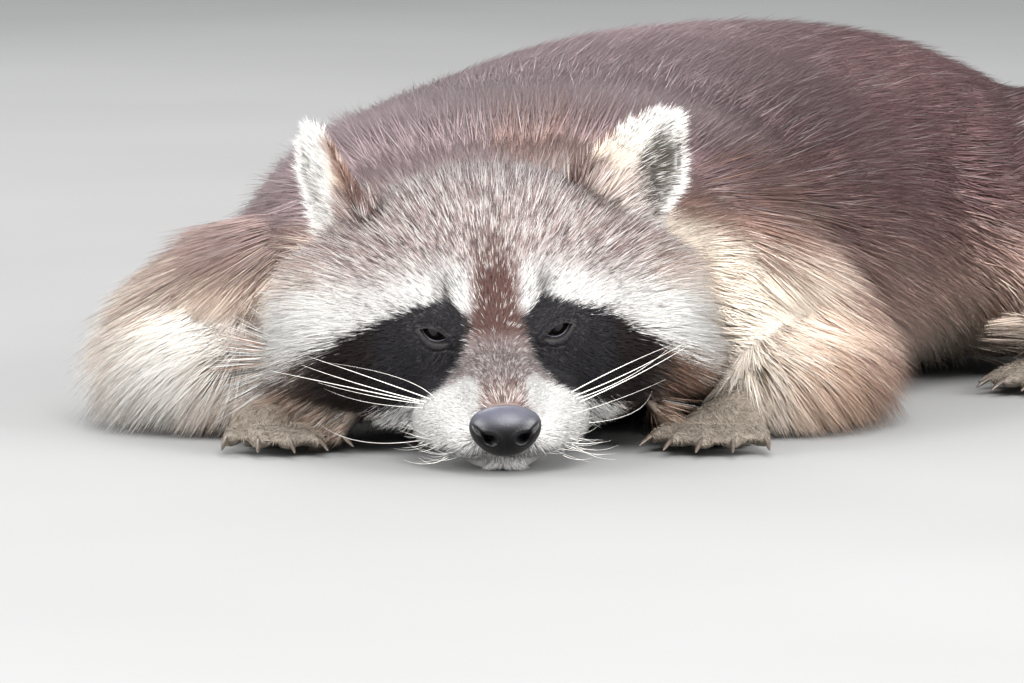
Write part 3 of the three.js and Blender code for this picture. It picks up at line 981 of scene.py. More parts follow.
def bodyCoat(points):  # the brown back, the paler flanks and the pale shoulders, with painted light on the flanks and on the far side and top of the back
    x, y, z = points.T
    wave = 5 * np.sin(x * 0.05 + y * 0.031) + 4 * np.sin(y * 0.083 - x * 0.041)
    colour = np.tile(shades["back"], (len(points), 1))
    colour = towards(colour, "nape", step(110, -10, x) * step(290, 190, y) * step(66, 95, z))
    colour = towards(colour, "nape", 0.75 * step(150, 30, x) * step(90, 122, z))
    patch = np.sin(x * 0.06 + 1.7) * np.sin(y * 0.045 + z * 0.03)
    # painted light: the back is painted lighter where it turns towards the animal's left and along the top
    # of its far part
    paintedLight = step(95, 155, x) * (0.25 + 0.65 * step(400, 220, y))
    paintedLight += 0.5 * step(105, 138, z) * step(180, 280, y)
    colour = colour * (1 + 0.10 * patch + paintedLight)[:, None]
    fleck = np.full(len(points), 0.4)
    far = step(130, 175, y)
    # the flank's tan and the cream low on it: partly the fur's own paler colour, partly painted light that
    # lifts the shade under the body
    colour = towards(colour, "flankTanAndPaintedLight", step(84, 52, z + wave) * far)
    colour = towards(colour, "cream", step(50, 28, z + wave) * far * 0.9)
    near = 1 - far
    isLeft = x > 0
    band = np.where(isLeft, follow(shoulderEdge, x), 67 - 0.16 * (np.abs(x) - 90))
    above = z + 1.5 * wave - band
    colour = towards(colour, "ruff", near * step(-60, -90, x) * step(-2, 6, above) * 0.8)
    colour = towards(colour, "rust", near * bump(6, 12, above) * np.where(isLeft, 0.7, 0.3))
    cream = near * step(7, -11, above)
    colour = towards(colour, "cream", cream)
    colour = towards(colour, "white", cream * step(60, 44, z + wave) * np.where(isLeft, 0.2, 0.8))
    streak = bump(0.85, 0.14, np.sin(x * 0.09 + z * 0.05)) * 0.35
    streak = np.maximum(streak, 0.4 * bump(-96, 9, x + 0.6 * wave) * step(30, 44, z))
    streak = np.maximum(streak, 0.95 * step(106, 128, x + wave))
    streak = np.maximum(streak, 0.6 * bump(-108, 9, x + wave) * step(34, 20, z))
    streak = np.maximum(streak, 0.3 * isLeft * step(34, 14, z + wave))
    colour = towards(colour, "tan", cream * streak * 0.9)
    colour = towards(colour, "rust", cream * step(120, 142, x + wave) * step(12, 36, z) * 0.45)
    fleck *= 1 - 0.6 * cream
    return colour, fleck


def tailCoat(points):
    along = alongPath(points, tailPath)[1]
    rings = 0.5 + 0.5 * np.cos(2 * np.pi * (along * tailPlan["rings"] + tailPlan["start"]))
    colour = np.tile(shades["tail"], (len(points), 1))
    colour = towards(colour, "tailDark", step(0.52, 0.72, rings) * step(0.08, 0.2, along))
    colour = towards(colour, "tailDark", step(*tailPlan["darkTip"], along))
    return colour, np.full(len(points), 0.35)


def hindCoat(points):
    colour, fleck = bodyCoat(points)
    colour = towards(colour, "back", step(60, 90, points[:, 2]))
    return towards(colour, "sleeve", step(24, 12, points[:, 2]) * 0.7), fleck


def pawCoat(points):
    colour = np.tile(shades["paw"], (len(points), 1))
    return colour, np.full(len(points), 0.3)


earRoots = {"at": ([33, 55, 43], [-44, 56, 42]), "radii": [9, 14, 12]}  # dark hair inside the ears' roots


def markings(points, normals, weights):  # points in metres with each one's share of every group
    local = toHead(points)
    body = toBody(points)
    parts = {
        "head": headCoat(local),
        "ear": earCoat(local, normals),
        "neck": bodyCoat(body),
        "trunk": bodyCoat(body),
        "foreleg": bodyCoat(body),
        "hindleg": hindCoat(body),
        "paw": pawCoat(body),
        "tail": tailCoat(body),
    }
    colour = np.zeros((len(points), 3))
    fleck = np.zeros(len(points))
    for group, (shade, flecked) in parts.items():
        colour += shade * weights[group][:, None]
        fleck += flecked * weights[group]
    for middle in earRoots["at"]:
        dark = step(1.15, 0.6, np.linalg.norm((local - middle) / earRoots["radii"], axis=1))
        colour = towards(colour, "stripe", dark * 0.9)
        colour = towards(colour, "mask", dark * 0.35)
        fleck = fleck * (1 - 0.9 * dark)
    return colour, fleck


skinNormals = normalsOf(skin.data)
skinColour, _ = markings(pointsOf(skin.data), skinNormals, share)
# painted shade: the skin under the hair is painted at half the coat's colour
paint(skin.data, "coat", skinColour * 0.5)


def makeSkinMaterial():
    material, shader, wire = newMaterial("skinUnderCoat", Roughness=0.8)
    place = wire.node("ShaderNodeTexCoord", out=3)
    colour = wire.node("ShaderNodeVertexColor", {"layer_name": "coat"})
    grain = place.noise(900.0, 3.0)
    dull = colour.mixed(grain * 0.5, (0.02, 0.015, 0.012, 1))
    feed(shader, Base_Color=dull, Normal=grain.bumped(0.0006, 0.8))
    return material


def unwrapSkin():
    editAll(skin, bpy.ops.uv.smart_project, angle_limit=np.radians(70), island_margin=0.001)
    skin.data.uv_layers[0].name = "unwrap"


unwrapSkin()
finishPiece(skin, "coat_back", makeSkinMaterial(), *fleshNodes)
print("skin is painted and unwrapped")


flowPlan = {
    "breast": [0, 30, 62],  # the hair of the fore part fans out from here
    "hang": 0.45,  # how far the hair of the sides turns down
    "hangLow": 0.6,  # and that of the lowest part
    "foreEnd": 200,  # the forepaws lie in front of this, and the hind ones behind it
}


def faceFlow(local):  # away from the bridge of the nose and from the eyes
    bridge = np.stack([
        0 * local[:, 0],
        np.clip(local[:, 1], -58, -4),
        np.interp(local[:, 1], [-58, -6], [-11, 3]),
    ], axis=1)
    backwards = np.interp(local[:, 1], [-60, -10, 10], [26, 16, 8])
    flow = unit(local - bridge + np.array([0, 1, 0]) * backwards[:, None])
    for side in (-1, 1):
        away = local - eyeCentre(side) + [0, 8, 0]
        distance = np.linalg.norm(away, axis=1)
        flow += unit(away) * (1.4 * bump(0, 9, distance))[:, None]
    flow[:, 2] -= 0.18 * step(30, 70, np.abs(local[:, 0]))
    return unit(flow @ headTurn.T)


def earFlow(local):
    flow = np.zeros_like(local)
    for side, chosen, across, rise in eachEar(local):
        way = np.stack([across * 0.9 + 0.25 * side, 0 * rise, 0.55 + 0.8 * rise], axis=1)
        flow[chosen] = way @ earTurn(side).T @ headTurn.T
    return unit(flow)


def trunkFlow(body, normals):
    away = unit(body - np.array(flowPlan["breast"]))
    heading, along, _ = alongPath(body * [1, 1, 0], spine * [1, 1, 0])
    near = step(0.5, 0.22, along)[:, None]
    flow = away * near + heading * (1.1 - near)
    flow[:, 2] -= flowPlan["hang"] * step(0.8, 0.1, normals[:, 2])
    flow[:, 2] -= flowPlan["hangLow"] * step(52, 24, body[:, 2]) * step(0.5, 0.0, normals[:, 2])
    return unit(flow)


def limbFlow(body, paths):  # down the nearer of two legs
    left, _, farLeft = alongPath(body, paths[1])
    right, _, farRight = alongPath(body, paths[-1])
    return np.where((farLeft < farRight)[:, None], left, right)


def flowField(points, normals, weights):  # which way the hair lies, as directions in the world
    local = toHead(points)
    body = toBody(points)
    trunk = trunkFlow(body, normals)
    side = np.where(body[:, 0] > 0, 1, -1)
    fan = np.stack([
        0.5 * side,
        np.interp(body[:, 1], [60, 150], [-0.35, 0.15]),
        -0.8 + 0 * side,
    ], axis=1)
    sleeve = step(36, 58, body[:, 1])[:, None]
    foreleg = limbFlow(body, forePaths) * (1 - sleeve) + unit(fan) * sleeve
    hip = step(26, 56, body[:, 2])[:, None]
    hindleg = limbFlow(body, hindPaths) * (1 - hip) + trunk * hip
    parts = {
        "head": faceFlow(local),
        "ear": earFlow(local),
        "neck": trunk,
        "trunk": trunk,
        "foreleg": foreleg,
        "hindleg": hindleg,
        "paw": np.where((body[:, 1] < flowPlan["foreEnd"])[:, None], foreleg, hindleg),
        "tail": alongPath(body, tailPath)[0],
    }
    flow = sum(parts[group] * weights[group][:, None] for group in groups)
    flow -= normals * dot(flow, normals)[:, None]
    return unit(flow)


hairPlan = {  # on the head by the distance from the middle of the face, in millimetres and degrees
    "length": {
        "head": [(25, 3.2), (34, 4.0), (44, 5.4), (56, 7.2), (70, 11), (86, 21), (110, 32)],
        "ear": 6.4, "neck": 24.0, "trunk": 38.0, "hindleg": 32.0, "paw": 3.8, "tail": 38.0,
    },
    "width": {
        "head": [(25, 0.36), (34, 0.40), (44, 0.46), (56, 0.54), (70, 0.60), (86, 0.66), (110, 0.74)],
        "ear": 0.42, "neck": 0.72, "trunk": 0.85, "foreleg": 0.78, "hindleg": 0.9, "paw": 0.44, "tail": 1.0,
    },
    "lift": {
        "head": [(25, 15), (34, 17), (44, 19), (56, 20), (70, 20), (86, 18), (110, 16)],
        "ear": 18, "neck": 11, "trunk": 8, "foreleg": 10, "hindleg": 10, "paw": 13, "tail": 19,
    },
    "foreleg": [(50, 9), (80, 36)],  # the length by the distance behind the eyes
    "ruff": {"length": 0.9, "width": -0.22, "lift": 8},  # what the ruff beside the chin adds
    "rim": {"length": 1.0, "lift": 16},  # what the rim of an ear adds
    "lids": {"length": -0.45, "width": -0.3},  # what the hair beside an eye loses
}


def coatMeasures(points, weights):  # length, width and lift of the hair at each root
    local = toHead(points)
    length, width, lift = (dict(hairPlan[name]) for name in ("length", "width", "lift"))
    reach = fromFace(local)
    ruff = step(6, -14, levelOf(local)) * step(48, 64, np.abs(local[:, 0]))
    length["head"] = follow(length["head"], reach) * (1 + hairPlan["ruff"]["length"] * ruff)
    width["head"] = follow(width["head"], reach) * (1 + hairPlan["ruff"]["width"] * ruff)
    lift["head"] = follow(lift["head"], reach) + hairPlan["ruff"]["lift"] * ruff
    rim = np.zeros(len(points))
    for _, chosen, across, rise in eachEar(local):
        rim[chosen] = np.maximum(step(0.7, 0.95, np.abs(across)), step(0.86, 0.97, rise))
    length["ear"] = length["ear"] + hairPlan["rim"]["length"] * rim
    lift["ear"] = lift["ear"] + hairPlan["rim"]["lift"] * rim
    length["foreleg"] = follow(hairPlan["foreleg"], toBody(points)[:, 1])
    length, width, lift = (
        sum(values[group] * weights[group] for group in groups) for values in (length, width, lift)
    )
    for side in (-1, 1):
        near = step(15, 8, np.linalg.norm(local - eyeCentre(side) + [0, 9, 0], axis=1))
        length = length * (1 + hairPlan["lids"]["length"] * near)
        width = width * (1 + hairPlan["lids"]["width"] * near)
    return length, width, np.radians(lift)


class SkinSampler:  # picks roots on the skin and carries the skin's values to them
    def __init__(self, piece, weights):
        mesh = piece.data
        mesh.calc_loop_triangles()
        count = len(mesh.loop_triangles)
        corner = np.empty(count * 3, np.int32)
        loops = np.empty(count * 3, np.int32)
        mesh.loop_triangles.foreach_get("vertices", corner)
        mesh.loop_triangles.foreach_get("loops", loops)
        flatUv = np.empty(len(mesh.loops) * 2)
        mesh.uv_layers["unwrap"].data.foreach_get("uv", flatUv)
        self.corner = corner.reshape(-1, 3)
        self.uv = flatUv.reshape(-1, 2)[loops.reshape(-1, 3)]
        self.points = pointsOf(mesh)
        self.normals = normalsOf(mesh)
        self.weights = weights
        a, b, c = (self.points[self.corner[:, i]] for i in range(3))
        self.area = np.linalg.norm(np.cross(b - a, c - a), axis=1) / 2
        self.centre = (a + b + c) / 3
        self.facing = unit(self.normals[self.corner].mean(1))
        self.groupShare = {group: weights[group][self.corner].mean(1) for group in groups}
        self.tree = BVHTree.FromPolygons(self.points.tolist(), self.corner.tolist())

    def lifted(self, tips, margin):  # moves tips that are in the skin, or nearer than the margin, out
        moved = tips.copy()
        for i, tip in enumerate(tips):
            place, normal, _, _ = self.tree.find_nearest(tip)
            inside = margin[i] - (Vector(tip) - place).dot(normal)
            if inside > 0:
                moved[i] += np.array(normal) * inside
        return moved

    def pick(self, draw, count, density):  # roots with their normals, places on the map and shares
        chance = self.area * density
        chosen = draw.choice(len(chance), count, p=chance / chance.sum())
        r1, r2 = np.sqrt(draw.random(count)), draw.random(count)
        parts = np.stack([1 - r1, r1 * (1 - r2), r1 * r2], axis=1)
        corner = self.corner[chosen]

        def blend(values):
            return np.einsum("ij,ij...->i...", parts, values)

        roots, normals = blend(self.points[corner]), unit(blend(self.normals[corner]))
        weights = {group: blend(self.weights[group][corner]) for group in groups}
        return roots, normals, blend(self.uv[chosen]), weights


tuftPlan = {
    "patch": 0.003,  # the side of a tuft's place on the skin's map
    "sunk": 0.5,  # how deep the root may lie in the skin
    "sag": 0.10,
    "ridge": 0.60,
    "keel": 0.25,
    "floor": 0.35,
    "lengths": (0.7, 1.25),  # the spread from the shortest to the longest
    "widths": (0.7, 1.3),
    "swing": 0.14,
    "clearance": 1.6,  # between the skin and the tips of long hair
    "mingle": 0.25,  # how far colours run into each other, as a share of the length
    "strands": 3.5,  # tufts that share their luck in being flecked
    # painted shade: the root end of each tuft is painted darker by this share
    "rootPaintedShade": 0.7,
    "tipShade": 1.05,
    "shimmer": 0.06,
    "light": 0.36,  # the share of the tufts that is flecked with white
    "dark": 0.34,  # and with dark
    "faces": [(0, 1, 3), (1, 2, 3), (2, 0, 3), (2, 1, 0)],  # the sides and the foot
}


def lockHeads(draw, roots, spacing):  # for each tuft, the one that leads its lock
    count = max(8, int(len(roots) / spacing))
    heads = draw.choice(len(roots), count, replace=False)
    tree = KDTree(count)
    for i, head in enumerate(heads):
        tree.insert(roots[head], i)
    tree.balance()
    return heads[np.array([tree.find(root)[1] for root in roots])]


def tuftMesh(name, ends, across, outward, widths, colours, places, seeds):
    # one closed three-sided spike for each tuft, from its root to its tip
    count = len(widths)
    roots, tips = ends
    half = (widths / 2)[:, None]
    low = roots - outward * half * tuftPlan["keel"]
    ridge = roots + outward * half * tuftPlan["ridge"]
    points = np.stack([low - across * half, low + across * half, ridge, tips], axis=1)
    tint = np.stack([colours[0]] * 3 + [colours[1]], axis=1)
    loops = np.array(tuftPlan["faces"]).ravel() + 4 * np.arange(count)[:, None]

    mesh = bpy.data.meshes.new(name)
    mesh.vertices.add(count * 4)
    mesh.vertices.foreach_set("co", points.astype(np.float32).ravel())
    mesh.loops.add(loops.size)
    mesh.loops.foreach_set("vertex_index", loops.astype(np.int32).ravel())
    mesh.polygons.add(count * 4)
    mesh.polygons.foreach_set("loop_start", np.arange(0, loops.size, 3, dtype=np.int32))
    smoothFaces(mesh)
    mesh.update(calc_edges=True)

    # three tall triangles side by side for the sides, and a small one for the foot
    flatUv = [((s + part) / 3, rise) for s in range(3) for part, rise in ((0, 0), (1, 0), (0.5, 1))]
    flatUv = np.array(flatUv + [(0.0, 0.0), (0.3, 0.0), (0.0, 0.2)])
    bake = mesh.uv_layers.new(name="OFBake")
    spots = places[:, None, :] + (flatUv - 0.5) * tuftPlan["patch"]
    bake.data.foreach_set("uv", spots.astype(np.float32).ravel())
    strand = mesh.uv_layers.new(name="strand")
    strands = np.tile(flatUv, (count, 1, 1))
    strands[:, :, 0] += seeds[:, None]
    strand.data.foreach_set("uv", strands.astype(np.float32).ravel())
    strand.active_render = True
    paint(mesh, "coat", tint.reshape(-1, 3))
    piece = bpy.data.objects.new(name, mesh)
    bpy.context.scene.collection.objects.link(piece)
    return piece


sampler = SkinSampler(skin, share)


def layTufts(draw, roots, normals, weights, plan):  # the ends of every tuft, its side, length and width
    count = len(roots)
    flow = flowField(roots, normals, weights)
    length, width, lift = coatMeasures(roots, weights)
    length = length * draw.uniform(*tuftPlan["lengths"], count)
    width = width * draw.uniform(*tuftPlan["widths"], count)
    lift = (lift * (1 + draw.normal(0, 1, count) * np.where(length > 22, 0.22, 0.35)))[:, None]
    swing = draw.normal(0, tuftPlan["swing"], (count, 1))
    flow = unit(flow * np.cos(swing) + np.cross(normals, flow) * np.sin(swing))
    across = unit(np.cross(normals, flow))

    tips = roots + (length * mm)[:, None] * (flow * np.cos(lift) + normals * np.sin(lift))
    tips[:, 2] -= length * tuftPlan["sag"] * step(8, 30, length) * mm
    leader = lockHeads(draw, roots, plan["lock"])
    tips += (tips[leader] - tips) * plan["pull"]

    # out of the skin again where it curves up under a tuft, which is then a little shorter
    margin = np.minimum(0.06 * length, tuftPlan["clearance"]) * mm
    out = sampler.lifted(tips, margin) - tips
    middle = (roots + tips + out) / 2
    over = sampler.lifted(middle, margin * 0.5) - middle
    shorter = 1 - 0.35 * step(0.5, 3.0, np.linalg.norm(over, axis=1) / mm)
    tips = roots + (tips + out + 2 * over - roots) * shorter[:, None]
    sunk = np.minimum(tuftPlan["sunk"], 0.05 * length) * mm
    ends = np.stack([roots, tips]) - normals * sunk[:, None]
    below = np.maximum(tuftPlan["floor"] * mm - ends[:, :, 2], 0)
    ends[:, :, 2] += below * 1.02
    return ends, across, length, width


def colourTufts(draw, roots, normals, weights, reach):  # the colours at the root, darkened with painted shade, and at the tip
    count = len(roots)
    jitter = draw.normal(0, 1, (count, 3)) * reach[:, None] * 0.5
    colour, fleck = markings(roots + jitter, normals, weights)
    luck = draw.random(count)
    leader = lockHeads(draw, roots, tuftPlan["strands"])
    luck = np.where(draw.random(count) < 0.75, luck[leader], luck)
    headShare = np.clip(weights["head"] + weights["ear"], 0, 1)[:, None]
    colour = colour * (1 + draw.uniform(-1, 1, (count, 1)) * tuftPlan["shimmer"] * (1 + headShare))
    strength = 0.25 + 0.75 * headShare
    isLight = (luck > 1 - tuftPlan["light"] * fleck)[:, None]
    isDark = (luck < tuftPlan["dark"] * fleck)[:, None]
    toLight = isLight * draw.uniform(0.5, 1.0, (count, 1)) * strength
    toDark = isDark * draw.uniform(0.6, 1.0, (count, 1)) * strength
    flecks = (shades["white"] * 0.96 - colour) * toLight + (shades["backDark"] * 0.8 - colour) * toDark
    # painted shade darkens each tuft's root end
    root = (colour + flecks * 0.2) * tuftPlan["rootPaintedShade"]
    tip = (colour + flecks) * tuftPlan["tipShade"]
    return np.clip([root, tip], 0.004, 0.95)


thinning = 1


def growCoat(name, plan, density, slot, material):
    draw = np.random.default_rng(plan["seed"])
    count = plan["count"] // thinning
    roots, normals, places, weights = sampler.pick(draw, count, density)
    ends, across, length, width = layTufts(draw, roots, normals, weights, plan)
    reach = plan.get("mingle", tuftPlan["mingle"]) * length * mm
    colours = colourTufts(draw, roots, normals, weights, reach)
    seeds = draw.integers(0, 400, count)  # each tuft's own stretch of the streaks
    piece = tuftMesh(name, ends, across, normals, width * mm, colours, places, seeds)
    finishPiece(piece, slot, material)
    print(name, count, "tufts")


def makeCoatMaterial():
    material, shader, wire = newMaterial("hair", Roughness=0.6, Specular_IOR_Level=0.16)
    strand = wire.node("ShaderNodeUVMap", {"uv_map": "strand"})
    colour = wire.node("ShaderNodeVertexColor", {"layer_name": "coat"})
    streak = strand.scaled((24.0, 2.2, 1.0)).noise(1.0, 2.0)
    lit = colour.mixed(1.0, streak.ramp([(0.35, (0.82, 0.81, 0.80)), (0.65, (1.0, 1.0, 1.0))]), "MULTIPLY")
    feed(shader, Base_Color=lit, Normal=streak.bumped(0.0003, 0.6))
    return material


coatPlan = {  # tufts, how many follow one of them and how closely, how far colours mingle, and the draw
    "coatMuzzle": {"count": 40000, "lock": 6, "pull": 0.15, "mingle": 0.4, "seed": 11},
    "coatForehead": {"count": 44000, "lock": 9, "pull": 0.3, "mingle": 0.4, "seed": 12},
    "coatCheeks": {"count": 42000, "lock": 10, "pull": 0.3, "seed": 13},
    "coatEars": {"count": 20000, "lock": 8, "pull": 0.15, "seed": 14},
    "coatNeck": {"count": 22000, "lock": 12, "pull": 0.25, "seed": 15},
    "coatShoulderLeft": {"count": 34000, "lock": 14, "pull": 0.14, "seed": 16},
    "coatShoulderRight": {"count": 34000, "lock": 14, "pull": 0.14, "seed": 17},
    "coatBack": {"count": 30000, "lock": 14, "pull": 0.14, "seed": 18},
    "coatRump": {"count": 18000, "lock": 14, "pull": 0.14, "seed": 19},
    "coatForelegs": {"count": 32000, "lock": 14, "pull": 0.3, "seed": 20},
    "coatHindlegs": {"count": 18000, "lock": 14, "pull": 0.25, "seed": 21},
    "coatPaws": {"count": 16000, "lock": 9, "pull": 0.1, "seed": 23},
    "coatTail": {"count": 22000, "lock": 12, "pull": 0.25, "seed": 22},
}


def earDensity(local, facing):  # sparse in the hollow of the ear
    density = np.ones(len(local))
    for side, chosen, across, rise in eachEar(local):
        isFront = isEarFront(facing[chosen], side)
        density[chosen] = 1 - 0.75 * earHollow(across * side, rise, side) * isFront
    return density


def hairyShare(local, body):  # 0 on the open eyes, under the nose's leather and below the belly
    hairy = np.ones(len(local))
    for side in (-1, 1):
        q = local - eyeCentre(side)
        isOpen = (openness(q[:, 0] * side, q[:, 2]) > -0.7) & (q[:, 1] < 0)
        hairy[isOpen & (np.linalg.norm(q, axis=1) < 13)] = 0
    nose = (local - nosePlan["at"]) / (nosePlan["radii"] + 0.3)
    nose[:, 2] *= np.where(nose[:, 2] > 0, 1.12, 1)
    hairy[np.linalg.norm(nose, axis=1) < 1] = 0
    under = step(-0.55, -0.2, sampler.facing[:, 2]) + step(8, 25, body[:, 2])
    return hairy * np.clip(under, 0, 1)


def coatDensities():  # each piece's hair for every area of the skin, and its slot
    local = toHead(sampler.centre)
    body = toBody(sampler.centre)
    share = sampler.groupShare
    x, y, _ = local.T
    level = levelOf(local)
    hairy = hairyShare(local, body)
    top = follow(maskTop, np.abs(x))
    near = np.interp(fromFace(local), [30, 50, 80], [3.2, 1.6, 1])
    head = share["head"] * hairy
    lowFace = head * (level < top + 1) * (np.abs(x) < 52) * (y < 40)
    front = head * (level >= top + 1) * (np.abs(x) + 0.25 * level < 62)
    cheeks = head * (lowFace == 0) * (front == 0)
    spineShare = alongPath(body * [1, 1, 0], spine * [1, 1, 0])[1]
    trunk = share["trunk"] * hairy
    isFront, isRear = spineShare < 0.44, spineShare >= 0.72
    isLeft = body[:, 0] > 12
    return {
        "coatMuzzle": (lowFace * near, "coat_head"),
        "coatForehead": (front * (0.6 + 0.8 * step(40, 10, y)), "coat_head"),
        "coatCheeks": (cheeks * (1.2 - 0.7 * step(60, 90, y)), "coat_head"),
        "coatEars": (share["ear"] * earDensity(local, sampler.facing), "coat_pale"),
        "coatNeck": (share["neck"] * hairy, "coat_head"),
        "coatShoulderLeft": (trunk * isFront * isLeft, "coat_back"),
        "coatShoulderRight": (trunk * isFront * ~isLeft, "coat_back"),
        "coatBack": (trunk * ~isFront * ~isRear, "coat_back"),
        "coatRump": (trunk * isRear, "coat_back"),
        "coatForelegs": (share["foreleg"] * hairy, "coat_pale"),
        "coatHindlegs": (share["hindleg"] * hairy, "coat_back"),
        "coatPaws": (share["paw"] * hairy, "coat_paw"),
        "coatTail": (share["tail"] * hairy, "coat_tail"),
    }


def growAll():
    material = makeCoatMaterial()
    for name, (density, slot) in coatDensities().items():
        growCoat(name, coatPlan[name], density, slot, material)


growAll()
print("coat is grown")


def makeEyeMaterial():
    fixed = {"Roughness": 0.3, "Specular_IOR_Level": 0.0, "Coat_Weight": 1.0, "Coat_Roughness": 0.02}
    material, shader, wire = newMaterial("wetEye", **fixed)
    reach = wire.node("ShaderNodeAttribute", {"attribute_name": "reach"}, out=2)
    place = wire.node("ShaderNodeTexCoord", out=3)
    iris = reach.ramp([
        (0.0, (0.002, 0.002, 0.003)), (0.30, (0.003, 0.002, 0.002)), (0.36, (0.030, 0.014, 0.008)),
        (0.58, (0.018, 0.009, 0.006)), (0.66, (0.004, 0.003, 0.003)), (0.9, (0.02, 0.012, 0.010)),
    ])
    fibres = place.noise(1400.0, 2.0).ramp([(0.3, (0.55, 0.55, 0.55)), (0.7, (1.0, 1.0, 1.0))])
    feed(shader, Base_Color=iris.mixed(1.0, fibres, "MULTIPLY"))
    return material


def makeEyes():
    material = makeEyeMaterial()
    radius = headPlan["eyeRadius"]
    for side, name in ((1, "left"), (-1, "right")):
        deselectAll()
        bpy.ops.mesh.primitive_uv_sphere_add(segments=64, ring_count=40, radius=radius * mm)
        eye = bpy.context.active_object
        eye.name = name + "Eyeball"
        points = pointsOf(eye.data) / mm
        points = points[:, [0, 2, 1]] * [1, -1, 1]  # the poles look ahead and back
        out = np.hypot(points[:, 0], points[:, 2]) / radius
        isAhead = points[:, 1] < 0
        swell = np.where(isAhead, eyePlan["cornea"] * step(0.72, 0.0, out), 0)
        points *= (1 + swell / radius)[:, None]
        local = points + eyeCentre(side)
        setPoints(eye.data, fromHead(local))
        smoothFaces(eye.data)
        carry(eye.data, "reach", np.where(isAhead, out, 1.0))
        finishPiece(eye, "eye", material, "eye_" + name)


def makeLidMaterial():
    material, shader, wire = newMaterial("lidRim", Roughness=0.3)
    colour = wire.node("ShaderNodeVertexColor", {"layer_name": "coat"})
    grain = wire.node("ShaderNodeTexCoord", out=3).noise(2500.0, 2.0)
    dull = colour.mixed(grain * 0.4, (0.01, 0.01, 0.012, 1))
    feed(shader, Base_Color=dull, Normal=grain.bumped(0.0001, 0.5))
    return material


def tube(path, first, second, radii, sides, isClosed):  # points and faces round a path
    ring = np.linspace(0, 2 * np.pi, sides, endpoint=False)
    spokes = first[:, None] * np.cos(ring)[:, None] + second[:, None] * np.sin(ring)[:, None]
    points = (path[:, None] + spokes * radii).reshape(-1, 3)
    count = len(path)
    faces = []
    for i in range(count if isClosed else count - 1):
        start, after = i * sides, (i + 1) % count * sides
        for j in range(sides):
            k = (j + 1) % sides
            faces.append((start + j, start + k, after + k, after + j))
    if not isClosed:
        faces.append(tuple(reversed(range(sides))))
        faces.append(tuple(range((count - 1) * sides, count * sides)))
    return points, faces


def makeLidRims():
    material = makeLidMaterial()
    count, sides = eyePlan["rimSteps"], eyePlan["rimSides"]
    for side, name in ((1, "left"), (-1, "right")):
        flat = eyeOpening(count)
        reach = headPlan["eyeRadius"] + eyePlan["rimOut"]
        depth = -np.sqrt(reach ** 2 - flat[:, 0] ** 2 - flat[:, 1] ** 2)
        path = np.stack([flat[:, 0] * side, depth, flat[:, 1]], axis=1)
        outward = unit(path)
        along = unit(np.roll(path, -1, 0) - np.roll(path, 1, 0))
        beside = np.cross(along, outward)
        points, faces = tube(path, outward, beside, eyePlan["rim"], sides, True)
        if side < 0:
            faces = [face[::-1] for face in faces]
        rim = newMesh(name + "LidRim", fromHead(points + eyeCentre(side)), faces)
        turn = np.repeat(np.linspace(0, 2 * np.pi, count, endpoint=False), sides)
        wet = step(3.3, 3.9, turn) * step(6.2, 5.6, turn)  # the lower lid, where a pale bluish painted highlight runs along the wet rim
        colour = np.tile(shades["lid"], (len(wet), 1))
        paint(rim.data, "coat", towards(colour, "lidPaintedHighlight", wet))
        finishPiece(rim, "eye", material)


makeEyes()
makeLidRims()
print("eyes are set")


def makeNoseMaterial():
    material, shader, wire = newMaterial("noseLeather", Specular_IOR_Level=0.15, Coat_Roughness=0.34)
    place = wire.node("ShaderNodeTexCoord", out=3)
    cells = place.node("ShaderNodeTexVoronoi", {"feature": "F1"}, {"Vector": place, "Scale": 1500.0})
    colour = wire.node("ShaderNodeVertexColor", {"layer_name": "coat"})
    worn = place.noise(260.0, 3.0)
    tone = colour.mixed(worn * 0.35, (0.006, 0.006, 0.008, 1))
    wet = wire.node("ShaderNodeAttribute", {"attribute_name": "wet"}, out=2)
    feed(shader, Base_Color=tone, Roughness=worn * 0.25 + 0.24, Coat_Weight=wet * 0.5,
         Normal=(1 - cells).bumped(0.0002, 0.6))
    return material


def makeNose():
    deselectAll()
    bpy.ops.mesh.primitive_uv_sphere_add(segments=128, ring_count=96, radius=1)
    nose = bpy.context.active_object
    nose.name = "noseLeather"
    p = pointsOf(nose.data)
    p = p[:, [0, 2, 1]] * [1, -1, 1]
    front = np.maximum(0, -p[:, 1])
    wide = 1 + nosePlan["flare"] * p[:, 2]
    x, z = np.abs(p[:, 0]), p[:, 2]
    hole = bump(*nosePlan["holeAcross"], x) * bump(*nosePlan["holeUp"], z)
    slit = bump(0.06 + 1.0 * (x - 0.66), 0.09, z) * step(0.48, 0.62, x) * step(0.98, 0.8, x)
    wing = bump(0.30, 0.09, np.hypot(x - 0.50, (z + 0.10) * 0.95)) * step(0.5, -0.1, z)
    groove = bump(0, 0.07, p[:, 0]) * step(0.1, -0.35, z)
    top = step(0.2, 0.9, z)
    forms = {"hole": hole, "slit": slit, "wing": wing, "groove": groove}
    push = front * sum(nosePlan[name] * form for name, form in forms.items())
    q = np.stack([
        p[:, 0] * wide * nosePlan["radii"][0],
        p[:, 1] * nosePlan["radii"][1] * (1 - 0.10 * top) + push * nosePlan["deep"],
        p[:, 2] * nosePlan["radii"][2] * (1 - 0.08 * top),
    ], axis=1)
    setPoints(nose.data, fromHead(q + nosePlan["at"]))
    smoothFaces(nose.data)
    shade = np.tile(shades["leather"], (len(p), 1))
    # painted highlight: the top of the nose is painted paler and bluish
    shade = towards(shade, "leatherPaintedHighlight", step(0.15, 0.9, z) * 0.8)
    # painted shade: the nostrils are painted nearly black
    shade *= (1 - 0.93 * np.clip(hole * 1.6, 0, 1))[:, None]
    paint(nose.data, "coat", shade)
    carry(nose.data, "wet", 0.06 + 0.94 * step(-0.2, 0.5, z))
    finishPiece(nose, "nose_leather", makeNoseMaterial(), "nose")


makeNose()
print("nose is set")


